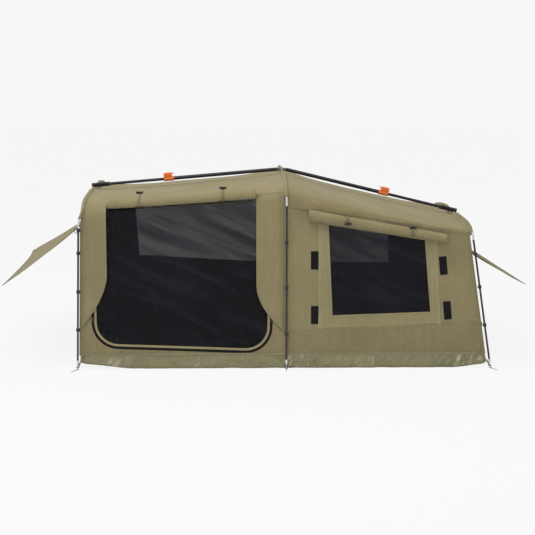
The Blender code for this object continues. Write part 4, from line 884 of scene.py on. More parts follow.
def row_of_stitches(finish, centre, inner, outer):
    """1 within a distance of a line along a tape, 0 beyond a larger one. V runs over the width."""
    across = wire(finish.tree, "SeparateXYZ", Vector=finish.uv).outputs["Y"]
    away = finish.maths("ABSOLUTE", finish.maths("SUBTRACT", across, centre))
    return finish.ramp(away, inner, outer, 1.0, 0.0)


def sewn(name, colour, shade, edges):
    """Folded canvas tape with a row of lock stitches along each edge."""
    finish = woven(name, colour, shade)
    plain, normal = [finish.shader.inputs[key].links[0].from_socket for key in ("Base Color", "Normal")]
    lines = finish.maths("MAXIMUM", *[row_of_stitches(finish, edge, 0.0003, 0.0007) for edge in edges])
    stitch = finish.maths("MULTIPLY", lines, finish.ramp(finish.waves(0.0035), 0.25, 0.4))
    finish.set(Base_Color=finish.mix(stitch, plain, "c4bc98"),
               Normal=finish.bump(stitch, 0.8, 0.0006, Normal=normal))
    return finish.material


def wall_path(points, lift, near=True):
    """Path over a side wall through points in x and z, lifted off the middle of its cloth."""
    path = []
    for x, z in points:
        point, out = wall_at(x, z, near)
        path.append((point + out * lift, out))
    return path


def between(first, last, count):
    """Points on a straight line in x and z."""
    return [(first[0] + (last[0] - first[0]) * i / count, first[1] + (last[1] - first[1]) * i / count)
            for i in range(count + 1)]


def line_through(corners, count):
    """Points on the lines from corner to corner, with a number of steps on each."""
    points = []
    for first, last in zip(corners, corners[1:]):
        points += between(first, last, count)[:-1]
    return points + [corners[-1]]


seam_tape = sewn("seam_tape", "8b8262", "7f7758", NARROW_ROWS)
rim_tape = sewn("rim_tape", "8d8768", "827c5d", NARROW_ROWS)

rim_path = []
for step in range(241):
    flat = tub_side(step / 240, 0.0)
    away = (flat - tub_side(step / 240, 0.01)).normalized()
    lean = TUB_END_LEAN[1] if flat.x > END_FROM else TUB_END_LEAN[0] if flat.x < -END_FROM else 0.0
    rim_path.append((Vector((flat.x + lean, flat.y, TUB_RIM + 0.004)) + away * 0.0018, away))
add_tape("tub_rim_seam", rim_path, SEAM_WIDTH, SEAM_DOME, rim_tape)
for bay, first, last in (("head", 0.012, 0.985), ("foot", 1.015, 1.985)):
    for near, side in SIDE_NAMES.items():
        eave = []
        for step in range(81):
            u = first + (last - first) * step / 80
            v = seam_row(u) if near else 4 - seam_row(u)
            out = cloth(u, v)[1]
            eave.append((roof_point(u, v) + out * 0.0010, out))
        add_tape(f"eave_seam_{bay}_{side}", eave, SEAM_WIDTH, SEAM_DOME, seam_tape)
for end, u in (("head", 0.0125), ("foot", 1.9802)):
    for near, side in SIDE_NAMES.items():
        corner = []
        for step in range(41):
            v = 0.02 + (seam_row(u) - 0.04) * step / 40
            out = cloth(u, v if near else 4 - v)[1]
            corner.append((wall_point(u, v, near) + out * 0.0009, out))
        add_tape(f"corner_seam_{end}_{side}", corner, SEAM_WIDTH, SEAM_DOME, seam_tape)
low_path = line_through(((0.020, 0.190), (0.189, 0.206), (0.586, 0.214), (0.779, 0.231), (1.004, 0.234)), 10)
add_tape("low_seam", wall_path(low_path, 0.0013), 0.010, SEAM_DOME, seam_tape)


# Window frame
# A second layer of canvas round the near window, from the low seam up to the roll, bound at both
# sides with a pale tape. Black hook-and-loop patches beside it hold the cover when it is down.
FRAME = ((0.176, 0.200), (0.786, 0.222), (0.757, 0.664), (0.178, 0.742))
frame_canvas = woven("frame_canvas", "9d9470", "918963").material
pale_tape = sewn("pale_tape", "a19874", "958c69", WIDE_ROWS)


def frame_place(a, b):
    x, z = in_window(FRAME, a, b)
    point, out = wall_at(x, z)
    return point + out * 0.0010


frame_sheet = panel("window_frame", 70, 60, (0.60, 0.49), frame_place, frame_canvas, 0.0008)
fix_shape(frame_sheet)
cut_through(frame_sheet, FRONT_WINDOW, -1.0, -0.3)
fasten(frame_sheet)
for name, low, high in (("left", (0.178, 0.204), (0.178, 0.738)), ("right", (0.785, 0.226), (0.756, 0.662))):
    binding = wall_path(between(low, high, 36), 0.0020)
    add_tape("frame_binding_" + name, binding, 0.018, 0.0006, pale_tape)
NEXT_CORNERS = FRONT_WINDOW[1:] + FRONT_WINDOW[:1]
for name, first, last in zip(("bottom", "right", "top", "left"), FRONT_WINDOW, NEXT_CORNERS):
    side = wall_path(between(first, last, 24), 0.0018)
    add_tape("window_hem_" + name, side, 0.010, 0.0007, frame_canvas)


def fuzzy(name, colour):
    """Black loop pile of a hook-and-loop patch."""
    finish = Finish(name, 0.95, 0.1)
    pile = wire(finish.tree, "TexVoronoi", Vector=finish.place, Scale=900.0).outputs["Distance"]
    finish.set(Sheen_Weight=0.25, Base_Color=finish.mix(pile, colour, "0c0c0d"),
               Normal=finish.bump(pile, 0.9, 0.0008))
    return finish.material


loop_pile = fuzzy("loop_pile", "17171c")
PATCHES = ((0.150, 0.555, 0.0), (0.152, 0.276, 0.0), (0.800, 0.527, 0.10), (0.826, 0.297, 0.10))
for number, (x, z, lean) in enumerate(PATCHES):
    line = between((x + lean * 0.046, z - 0.046), (x - lean * 0.046, z + 0.046), 8)
    add_tape(f"closure_patch_{number}", wall_path(line, 0.0022), 0.038, 0.0010, loop_pile)


# Door zip
# A black coil zip right round the door, with a pale binding inside it where the mesh is sewn in.
# Its two sliders travel down the sides, each with a small pull.
ZIP_TAPE = 0.0125


def coiled(name):
    """Woven zip tape with the coil's teeth standing up along its middle."""
    finish = Finish(name, 0.65, 0.15)
    coil = row_of_stitches(finish, ZIP_TAPE / 2, 0.0018, 0.0024)
    height = finish.maths("MULTIPLY", coil, finish.waves(0.0022))
    finish.set(Base_Color=finish.mix(height, "120e10", "241f20"), Normal=finish.bump(height, 1.0, 0.0010))
    return finish.material


def door_line(inset, lift):
    """Path round the door, inside its outline by an inset."""
    points = []
    corners = door_outline(inset)
    for first, last in zip(corners, corners[1:]):
        count = max(1, round(hypot(last[0] - first[0], last[1] - first[1]) / 0.012))
        points += between(first, last, count)[:-1]
    points.append(corners[-1])
    return wall_path(points, lift)


zip_coil = coiled("zip_coil")
zip_strip = add_tape("door_zip_tape", door_line(0.0048, 0.0009), ZIP_TAPE, 0.0008, zip_coil)
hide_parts("door_zip")
add_tape("mesh_binding", door_line(0.0178, 0.0007), 0.0115, 0.0008, pale_tape)


def moulded(name, colour, roughness=0.45):
    """Moulded plastic: fine spark texture, a little colour drift and rubbed edges."""
    finish = Finish(name, roughness, 0.3)
    drift = finish.noise(60.0, 3.0)
    edge = wire(finish.tree, "NewGeometry").outputs["Pointiness"]
    base = finish.mix(1.0, colour, finish.ramp(drift, 0.3, 0.7, 0.85, 1.12), "MULTIPLY")
    base = finish.mix(finish.ramp(edge, 0.52, 0.60, 0.0, 0.35), base, "8a8780")
    finish.set(Base_Color=base, Roughness=finish.ramp(drift, 0.0, 1.0, roughness - 0.1, roughness + 0.15),
               Normal=finish.bump(finish.noise(900.0, 2.0), 0.15, 0.0004))
    return finish.material


black_plastic = moulded("black_plastic", "101012", 0.55)


def add_block(bm, low, high, bevel=0.001, segments=2):
    """Box with rounded edges, added to a bmesh."""
    made = bmesh.ops.create_cube(bm, size=1.0)["verts"]
    middle = (Vector(low) + Vector(high)) / 2
    size = Vector(high) - Vector(low)
    bmesh.ops.scale(bm, verts=made, vec=size)
    bmesh.ops.translate(bm, verts=made, vec=middle)
    edges = list({edge for vertex in made for edge in vertex.link_edges})
    bmesh.ops.bevel(bm, geom=edges, offset=bevel, segments=segments, profile=0.5, affect="EDGES", material=-1)


def fit_part(name, bm, material, body="tent", node=None, matrix=None):
    """Makes a piece of a bmesh, moved into place by a matrix where one is given, and hangs it on its body."""
    if matrix is not None:
        bmesh.ops.transform(bm, matrix=matrix, verts=bm.verts)
    bmesh.ops.recalc_face_normals(bm, faces=bm.faces)
    fasten(new_object(name, bm, material), body, node)


def across_x(middle, half, y_range, z_range):
    """Opposite corners of a box that lies evenly about an x."""
    return (middle - half, y_range[0], z_range[0]), (middle + half, y_range[1], z_range[1])


SLIDER_Z = 0.262
for end, zip_x in (("head", DOOR_LEFT + 0.005), ("foot", DOOR_RIGHT - 0.005)):
    low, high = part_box("zip_slider_" + end)
    front = low[1]
    body_z, bridge_z = (SLIDER_Z - 0.006, SLIDER_Z + 0.0065), (SLIDER_Z - 0.004, SLIDER_Z + 0.004)
    pull_z = (SLIDER_Z - 0.0195, SLIDER_Z - 0.004)
    bm = bmesh.new()
    add_block(bm, *across_x(zip_x, 0.0060, (front, high[1]), body_z), 0.0016, 3)
    add_block(bm, *across_x(zip_x, 0.0014, (front - 0.0006, front + 0.001), bridge_z), 0.0005)
    add_block(bm, *across_x(zip_x, 0.0032, (front, front + 0.0014), pull_z), 0.0005)
    fit_part(f"slider_{end}_body", bm, black_plastic, "slider_" + end, "zip_slider_" + end)


# Toggles
# Short black barrels on webbing straps that hold each roll up; the strap goes once round the roll.
# A black binding edges the door's mesh under its roll.
def add_turned(bm, profile, turn, sides=28):
    """Shape turned about Z from (radius, height) points, moved by a matrix and added to a bmesh."""
    points = [bm.verts.new((radius, 0, height)) for radius, height in profile]
    edges = [bm.edges.new(pair) for pair in zip(points, points[1:])]
    before = set(bm.verts) - set(points)
    bmesh.ops.spin(bm, geom=points + edges, cent=(0, 0, 0), axis=(0, 0, 1), angle=2 * pi, steps=sides,
                   use_merge=True)
    made = [vertex for vertex in bm.verts if vertex not in before]
    bmesh.ops.transform(bm, matrix=turn, verts=made)
    bmesh.ops.remove_doubles(bm, verts=made, dist=0.00001)


MESH_HEM = ((-0.874, 0.8175), (-0.726, 0.8245), (-0.476, 0.8365), (-0.158, 0.8515))
black_binding = sewn("black_binding", "141418", "0d0d11", NARROW_ROWS)
hem_line = wall_path(line_through(MESH_HEM, 16), 0.0012)
add_tape("door_mesh_hem", hem_line, 0.013, 0.0005, black_binding)
webbing_khaki = sewn("webbing_khaki", "7b7353", "6c6546", NARROW_ROWS)
STRAP = 0.012
BARREL = ((0, -0.0185), (0.0040, -0.0185), (0.0062, -0.0165), (0.0070, -0.0115), (0.0052, -0.0045),
          (0.0044, 0), (0.0052, 0.0045), (0.0070, 0.0115), (0.0062, 0.0165), (0.0040, 0.0185), (0, 0.0185))
for name, (_, _, _, _, _, _, near, _, height) in ROLLS.items():
    for spot, on_roll, lift in TOGGLES[name]:
        centre, out, down, radius = roll_centre(name, spot)
        label = f"{name}_{'left' if spot < 0.5 else 'right'}"
        reach = radius * 0.86 + 0.0022
        loop = []
        for step in range(29):
            turn = 2 * pi * step / 28
            heading = out * cos(turn) + down * (height * sin(turn))
            facing = (out * cos(turn) + down * (sin(turn) / height)).normalized()
            loop.append((centre + heading * reach, facing))
        add_tape("strap_" + label, loop, STRAP, 0.0004, webbing_khaki)
        up = -down if near else down
        front = sqrt(1 - on_roll ** 2) * (radius + 0.0065)
        seat = centre + out * front + up * (on_roll * (reach * height + 0.0055))
        if lift:
            seat = seat + Vector((0, 0, lift))
            tab = [(seat.lerp(seat - up * (lift + 0.008), step / 6) - out * 0.0062, out) for step in range(7)]
            add_tape("tab_" + label, tab, 0.010, 0.0003, webbing_khaki)
        bm = bmesh.new()
        add_turned(bm, BARREL, Matrix.Translation(seat) @ Matrix.Rotation(pi / 2, 4, "Y"), 20)
        fit_part("toggle_" + label, bm, black_plastic)


# Hoops
# Three hoops of 10 mm alloy tube. Each is a bare arch that two dark legs plug onto, and each leg ends
# in a silver cap with a pin.
def metal(name, colour, roughness, metallic, scratch="d9dadb"):
    """Drawn tube: fine lengthwise lines, dulled patches, and bright rubbed marks."""
    finish = Finish(name, roughness, 0.5, metallic)
    lines = finish.noise(1.0, 2.0, place=finish.stretched((900.0, 900.0, 25.0)))
    patch = finish.noise(18.0, 5.0, 0.65)
    base = finish.mix(finish.ramp(patch, 0.60, 0.72, 0.0, 0.30), colour, scratch)
    base = finish.mix(1.0, base, finish.ramp(lines, 0.3, 0.7, 0.85, 1.1), "MULTIPLY")
    gloss = finish.ramp(patch, 0.3, 0.7, max(roughness - 0.08, 0.05), roughness + 0.12)
    finish.set(Base_Color=base, Roughness=gloss, Normal=finish.bump(lines, 0.2, 0.0002))
    return finish.material


bare_alloy = metal("bare_alloy", "dcdde0", 0.38, 0.45, "f0f0f0")
dark_tube = metal("dark_tube", "3a393c", 0.38, 0.4, "6d6c6e")


def bent_bar(name, path, material, sides=24, across=(1, 0, 0)):
    """Round bar along a path of (point, radius), closed at both ends."""
    bm = bmesh.new()
    last = len(path) - 1
    bmesh.ops.create_grid(bm, x_segments=sides, y_segments=last, size=0.5)
    for vertex in bm.verts:
        turn, at = 2 * pi * (vertex.co.x + 0.5), round((vertex.co.y + 0.5) * last)
        point, radius = path[at]
        run = (path[min(at + 1, last)][0] - path[max(at - 1, 0)][0]).normalized()
        side = (Vector(across) - run * run.dot(Vector(across))).normalized()
        vertex.co = point + (side * cos(turn) + run.cross(side) * sin(turn)) * radius
    bmesh.ops.remove_doubles(bm, verts=bm.verts, dist=0.00002)
    bmesh.ops.holes_fill(bm, edges=[edge for edge in bm.edges if edge.is_boundary], sides=0)
    bmesh.ops.recalc_face_normals(bm, faces=bm.faces)
    return new_object(name, bm, material)


POLE = 0.005
HOOP_NAMES = ("head", "mid", "foot")
SIDES = ((-1, "near"), (1, "far"))


def leg_at(hoop, height, side):
    """Point of a leg's axis at a height: side is -1 for the near leg and 1 for the far one."""
    return Vector((hoop[0] + (hoop[1] - hoop[0]) * height / hoop[2], side * WIDTH / 2, height))


def aimed(origin, run):
    """Matrix that moves the world's origin to a point and turns its Z along a direction."""
    return Matrix.Translation(origin) @ run.to_track_quat("Z", "Y").to_matrix().to_4x4()


LEG_CAP = ((0, 0), (0.0016, 0), (0.0026, 0.0025), (0.0029, 0.026), (0.0055, 0.027), (0.0060, 0.0285),
           (0.0060, 0.0465), (0.0056, 0.0475), (0, 0.0475))
for hoop_name, hoop in zip(HOOP_NAMES, HOOPS):
    arch = [(leg_at(hoop, hoop[2] - 0.011, -1), POLE)]
    arch += [(pole_point(hoop, 2 * step / 96), POLE) for step in range(97)]
    arch += [(leg_at(hoop, hoop[2] - 0.011, 1), POLE)]
    bar = bent_bar(f"arch_{hoop_name}_tube", arch, bare_alloy)
    fasten(bar, node="arch_" + hoop_name)
    for side, label in SIDES:
        foot, top = leg_at(hoop, 0.0015, side), leg_at(hoop, hoop[2] - 0.012, side)
        turn = aimed(foot, top - foot)
        length = (top - foot).length
        bm = bmesh.new()
        tube = ((0, 0.046), (POLE, 0.046), (POLE, length - 0.0008), (POLE - 0.0008, length), (0, length))
        add_turned(bm, tube, turn)
        bead = ((0.0, 0.030), (0.0005, 0.029), (0.0005, 0.026), (0.0, 0.025))
        add_turned(bm, [(POLE + proud, length - below) for proud, below in bead], turn)
        fit_part(f"leg_{hoop_name}_{label}_tube", bm, dark_tube, node=f"leg_{hoop_name}_{label}")
        bm = bmesh.new()
        add_turned(bm, LEG_CAP, turn)
        fit_part(f"leg_cap_{hoop_name}_{label}", bm, bare_alloy)


# Pole sleeves
# Canvas tunnels that the arches run through, sewn to the roof along both sides of the tube. The end
# sleeves also cover the roof's edge.
sleeve_canvas = sewn("sleeve_canvas", "938a67", "877f5d", (0.004, 0.034))
# Each sleeve: its hoop, its edges' distances from the pole's axis, and the row of its near end
SLEEVES = {
    "head": (0, -0.009, 0.030, 1.050),
    "mid": (1, -0.012, 0.012, 1.068),
    "foot": (2, -0.030, 0.009, 1.100),
}


def sleeve_point(hoop_index, v, offset):
    """Sleeve cloth at an offset along x from the pole's axis: flat on the roof, and up over the pole."""
    hoop = HOOPS[hoop_index]
    axis = pole_point(hoop, v - 1)
    first, last = (0, 1) if axis.x + offset < HOOPS[1][3] else (1, 2)
    low, high = section(HOOPS[first], v).x, section(HOOPS[last], v).x
    u = first + (axis.x + offset - low) / (high - low)
    base, _ = cloth(u, v)
    out = pole_out(hoop, v - 1)
    depth = CLOTH_DEPTH + LEG_STANDOFF * (1 - smooth_step(min(v - 1, 3 - v) / 0.3))
    bell = 1 - smooth_step((abs(offset) - 0.0045) / 0.0060)
    return base + out * (0.0013 + (depth + 0.0063 - 0.0013) * bell)


for hoop_name, (hoop_index, first_offset, last_offset, low_row) in SLEEVES.items():
    def sleeve_place(a, b):
        v = low_row + (4 - 2 * low_row) * a
        grow = overhang(v) - 0.007 if hoop_index != 1 else 0.0
        first = first_offset - (grow if hoop_index == 0 else 0.0)
        last = last_offset + (grow if hoop_index == 2 else 0.0)
        wrinkle = 0.0007 * noise.noise(Vector((v * 22, b * 3, 50.0 + hoop_index)))
        return sleeve_point(hoop_index, v, first + (last - first) * b) + Vector((0, 0, wrinkle))

    width = last_offset - first_offset
    sleeve = panel(f"sleeve_{hoop_name}_skin", 180, 30, (1.55, width), sleeve_place, sleeve_canvas, 0.0010)
    fasten(sleeve, node="sleeve_" + hoop_name)


# Wall clips
# Black hooks that snap round the legs and keep the walls drawn out to them. Each is on a short tab
# of webbing that is sewn to the wall.
OUTWARD = {"head": -1, "mid": 0, "foot": 1}         # way along x from the cabin, by hoop
LEGS = [(name, hoop, side, label) for name, hoop in zip(HOOP_NAMES, HOOPS) for side, label in SIDES]
CLIP_HEIGHTS = {
    "head": (0.207, 0.401, 0.597, 0.712), "mid": (0.182, 0.418, 0.648), "foot": (0.224, 0.420, 0.587),
}
CLIP_RING = ((0.0053, -0.0085), (0.0074, -0.0088), (0.0086, -0.0060), (0.0088, 0.0), (0.0086, 0.0060),
             (0.0074, 0.0088), (0.0053, 0.0085), (0.0053, -0.0085))
for hoop_name, hoop, side, label in LEGS:
    bm = bmesh.new()
    run = (leg_at(hoop, hoop[2], side) - leg_at(hoop, 0, side)).normalized()
    for height in CLIP_HEIGHTS[hoop_name]:
        centre = leg_at(hoop, height, side)
        add_turned(bm, CLIP_RING, aimed(centre, run), 24)
        tab_x = centre.x - OUTWARD[hoop_name] * 0.004
        tab_y = sorted((centre.y - side * 0.0060, centre.y - side * 0.0135))
        add_block(bm, *across_x(tab_x, 0.0045, tab_y, (height - 0.0060, height + 0.0060)), 0.0012)
    fit_part(f"clips_{hoop_name}_{label}", bm, black_plastic,
             node=f"clip_tape_{hoop_name}_{label}")


# Lower panel
# A second layer of browner canvas over the near wall of the foot bay. It runs from the tub's rim up
# to the low seam.
low_canvas = woven("low_canvas", "938966", "867c5c", soil=0.35).material


def low_panel_place(a, b):
    low = (0.020 + 0.984 * a, 0.079)
    at = a * (len(low_path) - 1)
    first = min(int(at), len(low_path) - 2)
    high = low_path[first][1] + (low_path[first + 1][1] - low_path[first][1]) * (at - first)
    point, out = wall_at(low[0], low[1] + (high - low[1]) * b)
    return point + out * 0.0010


low_panel = panel("low_panel", 160, 24, (0.965, 0.14), low_panel_place, low_canvas, 0.0008)
fasten(low_panel)


# Awning edges
# Stitched hems on all four sides of each awning, with a pressed metal eyelet in its outer corners.
# They ride on the awnings' bodies.
awning_hem = sewn("awning_hem", "989069", "8c845f", WIDE_ROWS)


def awning_normal(end, a, b):
    a, b = min(max(a, 0.01), 0.99), min(max(b, 0.01), 0.99)
    over = awning_point(end, a + 0.01, b) - awning_point(end, a - 0.01, b)
    out = awning_point(end, a, b + 0.01) - awning_point(end, a, b - 0.01)
    normal = over.cross(out).normalized()
    return normal if normal.z > 0 else -normal


def add_eyelet(bm, centre, up, hole=0.0045):
    """Two-part eyelet: a rolled ring on each side of the cloth."""
    turn = aimed(centre, up)
    ring = ((hole, -0.0018), (hole + 0.0045, -0.0012), (hole + 0.0048, 0.0), (hole + 0.0045, 0.0012),
            (hole, 0.0022), (hole - 0.0008, 0.0), (hole, -0.0018))
    add_turned(bm, ring, turn, 24)


for end in AWNINGS:
    for label, edge in (
        ("near", [(0.0078, 0.03 + 0.96 * step / 40) for step in range(41)]),
        ("far", [(0.9922, 0.03 + 0.96 * step / 40) for step in range(41)]),
        ("outer", [(0.009 + 0.982 * step / 60, 0.982) for step in range(61)]),
        ("hinge", [(0.009 + 0.982 * step / 60, 0.030) for step in range(61)]),
    ):
        path = [(awning_point(end, a, b) + awning_normal(end, a, b) * 0.0013, awning_normal(end, a, b))
                for a, b in edge]
        add_tape(f"awning_hem_{end}_{label}", path, 0.018, 0.0005, awning_hem, "awning_" + end)
    bm = bmesh.new()
    for a in (0.018, 0.982):
        add_eyelet(bm, awning_point(end, a, 0.958), awning_normal(end, a, 0.958))
    fit_part(f"awning_eyelets_{end}", bm, bare_alloy, "awning_" + end)


# Pegs
# Wire pegs with an eye round each leg's pin, and a pointed shank that lies on the ground. Those at
# the ends point away from the corners.
peg_steel = metal("peg_steel", "c9cacc", 0.40, 0.5)
PEG_WIRE = 0.0019
PEG_EYE = 0.0058
PEG_HEIGHT = 0.0025
for hoop_name, hoop, side, label in LEGS:
    centre = leg_at(hoop, 0, side) + Vector((0, 0, PEG_HEIGHT))
    heading = atan2(side, OUTWARD[hoop_name] * 0.45)
    route = []
    for step in range(33):
        turn = heading + radians(32) + (2 * pi - radians(64)) * step / 32
        route.append((centre + Vector((PEG_EYE * cos(turn), PEG_EYE * sin(turn), 0)), PEG_WIRE))
    run = Vector((cos(heading), sin(heading), 0))
    for reach, radius in ((0.012, 1.0), (0.030, 1.0), (0.052, 1.0), (0.060, 0.75), (0.0638, 0.2)):
        route.append((centre + run * reach, PEG_WIRE * radius))
    peg = bent_bar(f"peg_{hoop_name}_{label}_wire", route, peg_steel, 16, (0, 0, 1))
    fasten(peg, node=f"peg_{hoop_name}_{label}")


# Corner straps
# A strap of grey webbing from the tub's turn-up to a black ring that each leg's pin stands in.
# The straps have two rows of stitches.
grey_webbing = sewn("grey_webbing", "6f6c70", "5f5c60", (0.0020, 0.0080))
RING = 0.0064
RING_WIRE = 0.0016
RING_HEIGHT = 0.0130
for hoop_name, hoop, side, label in LEGS:
    pin = leg_at(hoop, RING_HEIGHT, side)
    if hoop_name == "mid":
        root = Vector((hoop[0], side * (TUB_HALF_Y + 0.0015), 0.030))
    else:
        across = TUB_ENDS[0 if hoop_name == "head" else 1]
        corner = TUB_CORNER * (1 - cos(pi / 4)) - 0.003
        root = Vector((across - copysign(corner, across), side * (TUB_HALF_Y - corner), 0.040))
    away = (Vector((pin.x, pin.y, 0)) - Vector((root.x, root.y, 0))).normalized()
    grip = pin - away * RING + Vector((0, 0, 0.0022))
    rise = (grip - root).normalized()
    face_up = away.cross(Vector((0, 0, 1))).cross(rise).normalized()
    strap_path = []
    for step in range(13):
        share = step / 12
        strap_path.append((root.lerp(grip, share) + Vector((0, 0, 0.004)) * sin(pi * share), face_up))
    add_tape(f"corner_strap_{hoop_name}_{label}", strap_path, 0.010, 0.0005, grey_webbing)
    bm = bmesh.new()
    round_wire = [(RING + RING_WIRE * cos(2 * pi * step / 10), RING_WIRE * sin(2 * pi * step / 10))
                  for step in range(11)]
    add_turned(bm, round_wire, Matrix.Translation(pin), 32)
    fit_part(f"pin_ring_{hoop_name}_{label}", bm, black_plastic)


# Ridge pole
# Two telescopic arms of black tube, hinged on an alloy saddle that sits on the middle hoop. Each inner
# tube slides out to its end hoop and ends in a cap. An orange cam clamp on the outer tube holds it.
TUBE = 0.010
INNER = 0.008
PIN_Z = 0.97537
LEVER_PIN = (0.011, 0.021)
EYE_RADIUS = 0.0066         # end of an outer tube's hinge tongue
CAM_RADIUS = 0.0056
# Outline of a lever's handle: how far inwards from its pin, and how far above it
LEVER_HANDLE = ((0.030, 0.0020), (0.049, 0.0058), (0.0518, 0.0072), (0.0518, 0.0086), (0.050, 0.0096),
                (0.030, 0.0064))
CAP_SHELL = ((0, 0.1), (0.0095, 0.1), (0.0114, 0.0990), (0.0120, 0.0970), (0.0120, 0.0900),
             (0.0113, 0.0890), (0.0113, 0.0120), (0.0120, 0.0110), (0.0120, 0.0020), (0.0112, 0.0),
             (0.0083, 0.0), (0.0083, 0.0550), (0, 0.0550))
LUG_REACH = 0.059           # from a cap's mouth to the far side of the lug under it
# Each arm: its pin's x, its run, the outer tube's end, the inner tube's start, the clamp and the cap
ARMS = {
    "head": (-0.010, (-0.99635, -0.08531), 0.6287, 0.5187, 0.622, 0.9457),
    "foot": (0.018, (0.97198, -0.23508), 0.5867, 0.4767, 0.580, 0.8994),
}
black_tube = metal("black_tube", "18171c", 0.42, 0.2, "3c3c42")
orange_plastic = moulded("orange_plastic", "fa7a20", 0.45)


def arm_frame(end):
    """Frame of an arm: X runs out along it from its hinge pin, and Z points up from it."""
    pin_x, (run_x, run_z) = ARMS[end][:2]
    run = Vector((run_x, 0, run_z)).normalized()
    side = Vector((0, 0, 1)).cross(run).normalized()
    turn = Matrix((run, side, run.cross(side))).transposed().to_4x4()
    return Matrix.Translation((pin_x, 0, PIN_Z)) @ turn


def add_plate(bm, outline, low, high, bevel=0.0005):
    """Flat part cut to an outline of (x, z) points between two values of y, with eased edges."""
    face = bm.faces.new([bm.verts.new((x, low, z)) for x, z in outline])
    made = bmesh.ops.extrude_face_region(bm, geom=[face])["geom"]
    moved = [item for item in made if isinstance(item, bmesh.types.BMVert)]
    bmesh.ops.translate(bm, verts=moved, vec=(0, high - low, 0))
    rims = [edge for edge in bm.edges if edge.verts[0].co.y == edge.verts[1].co.y
            and all(vertex in moved or vertex in face.verts for vertex in edge.verts)]
    bmesh.ops.bevel(bm, geom=rims, offset=bevel, segments=2, profile=0.5, affect="EDGES", material=-1)


def rounded(low, high, radius, steps=6):
    """Outline of a rectangle with round corners."""
    points = []
    left, right = low[0] + radius, high[0] - radius
    bottom, top = low[1] + radius, high[1] - radius
    for x, z, start in ((right, bottom, -pi / 2), (right, top, 0.0), (left, top, pi / 2), (left, bottom, pi)):
        for step in range(steps + 1):
            turn = start + pi / 2 * step / steps
            points.append((x + radius * cos(turn), z + radius * sin(turn)))
    return points


hub_x = HOOPS[1][3]
hub_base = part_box("ridge_hub")[0][2]
bm = bmesh.new()
add_block(bm, *across_x(hub_x, 0.0208, (-0.0059, 0.0059), (hub_base, hub_base + 0.0025)), 0.0006)
cheek = rounded((hub_x - 0.0206, hub_base + 0.0006), (hub_x + 0.0206, PIN_Z + 0.0068), 0.0055)
add_plate(bm, cheek, -0.0058, -0.0029)
add_plate(bm, cheek, 0.0029, 0.0058)
add_block(bm, *across_x(hub_x, 0.004, (-0.0045, 0.0045), (hub_base + 0.001, PIN_Z + 0.0088)), 0.0012)
pin = ((0, -0.0071), (0.0026, -0.0071), (0.0034, -0.0066), (0.0034, -0.0057), (0.0022, -0.0056),
       (0.0022, 0.0056), (0.0034, 0.0057), (0.0034, 0.0066), (0.0026, 0.0071), (0, 0.0071))
for pin_x in (ARMS["head"][0], ARMS["foot"][0]):
    add_turned(bm, pin, Matrix.Translation((pin_x, 0, PIN_Z)) @ Matrix.Rotation(pi / 2, 4, "X"), 24)
saddle_alloy = metal("saddle_alloy", "6f6f68", 0.42, 0.4, "9a9b96")
fit_part("ridge_saddle", bm, saddle_alloy, node="ridge_hub")
strap = [(-0.060, 0.9675), (-0.045, 0.9672), (-0.032, 0.9712), (-0.018, 0.9796), (-0.009, 0.9849),
         (0.0, 0.9862)]
strap += [(-y, z) for y, z in strap[-2::-1]]
over = []
for step, (y, z) in enumerate(strap):
    before, after = strap[max(step - 1, 0)], strap[min(step + 1, len(strap) - 1)]
    over.append((Vector((hub_x, y, z)), Vector((0, before[1] - after[1], after[0] - before[0])).normalized()))
add_tape("saddle_strap", over, 0.0102, 0.0006, sleeve_canvas)
lying = Matrix.Rotation(pi / 2, 4, "Y")

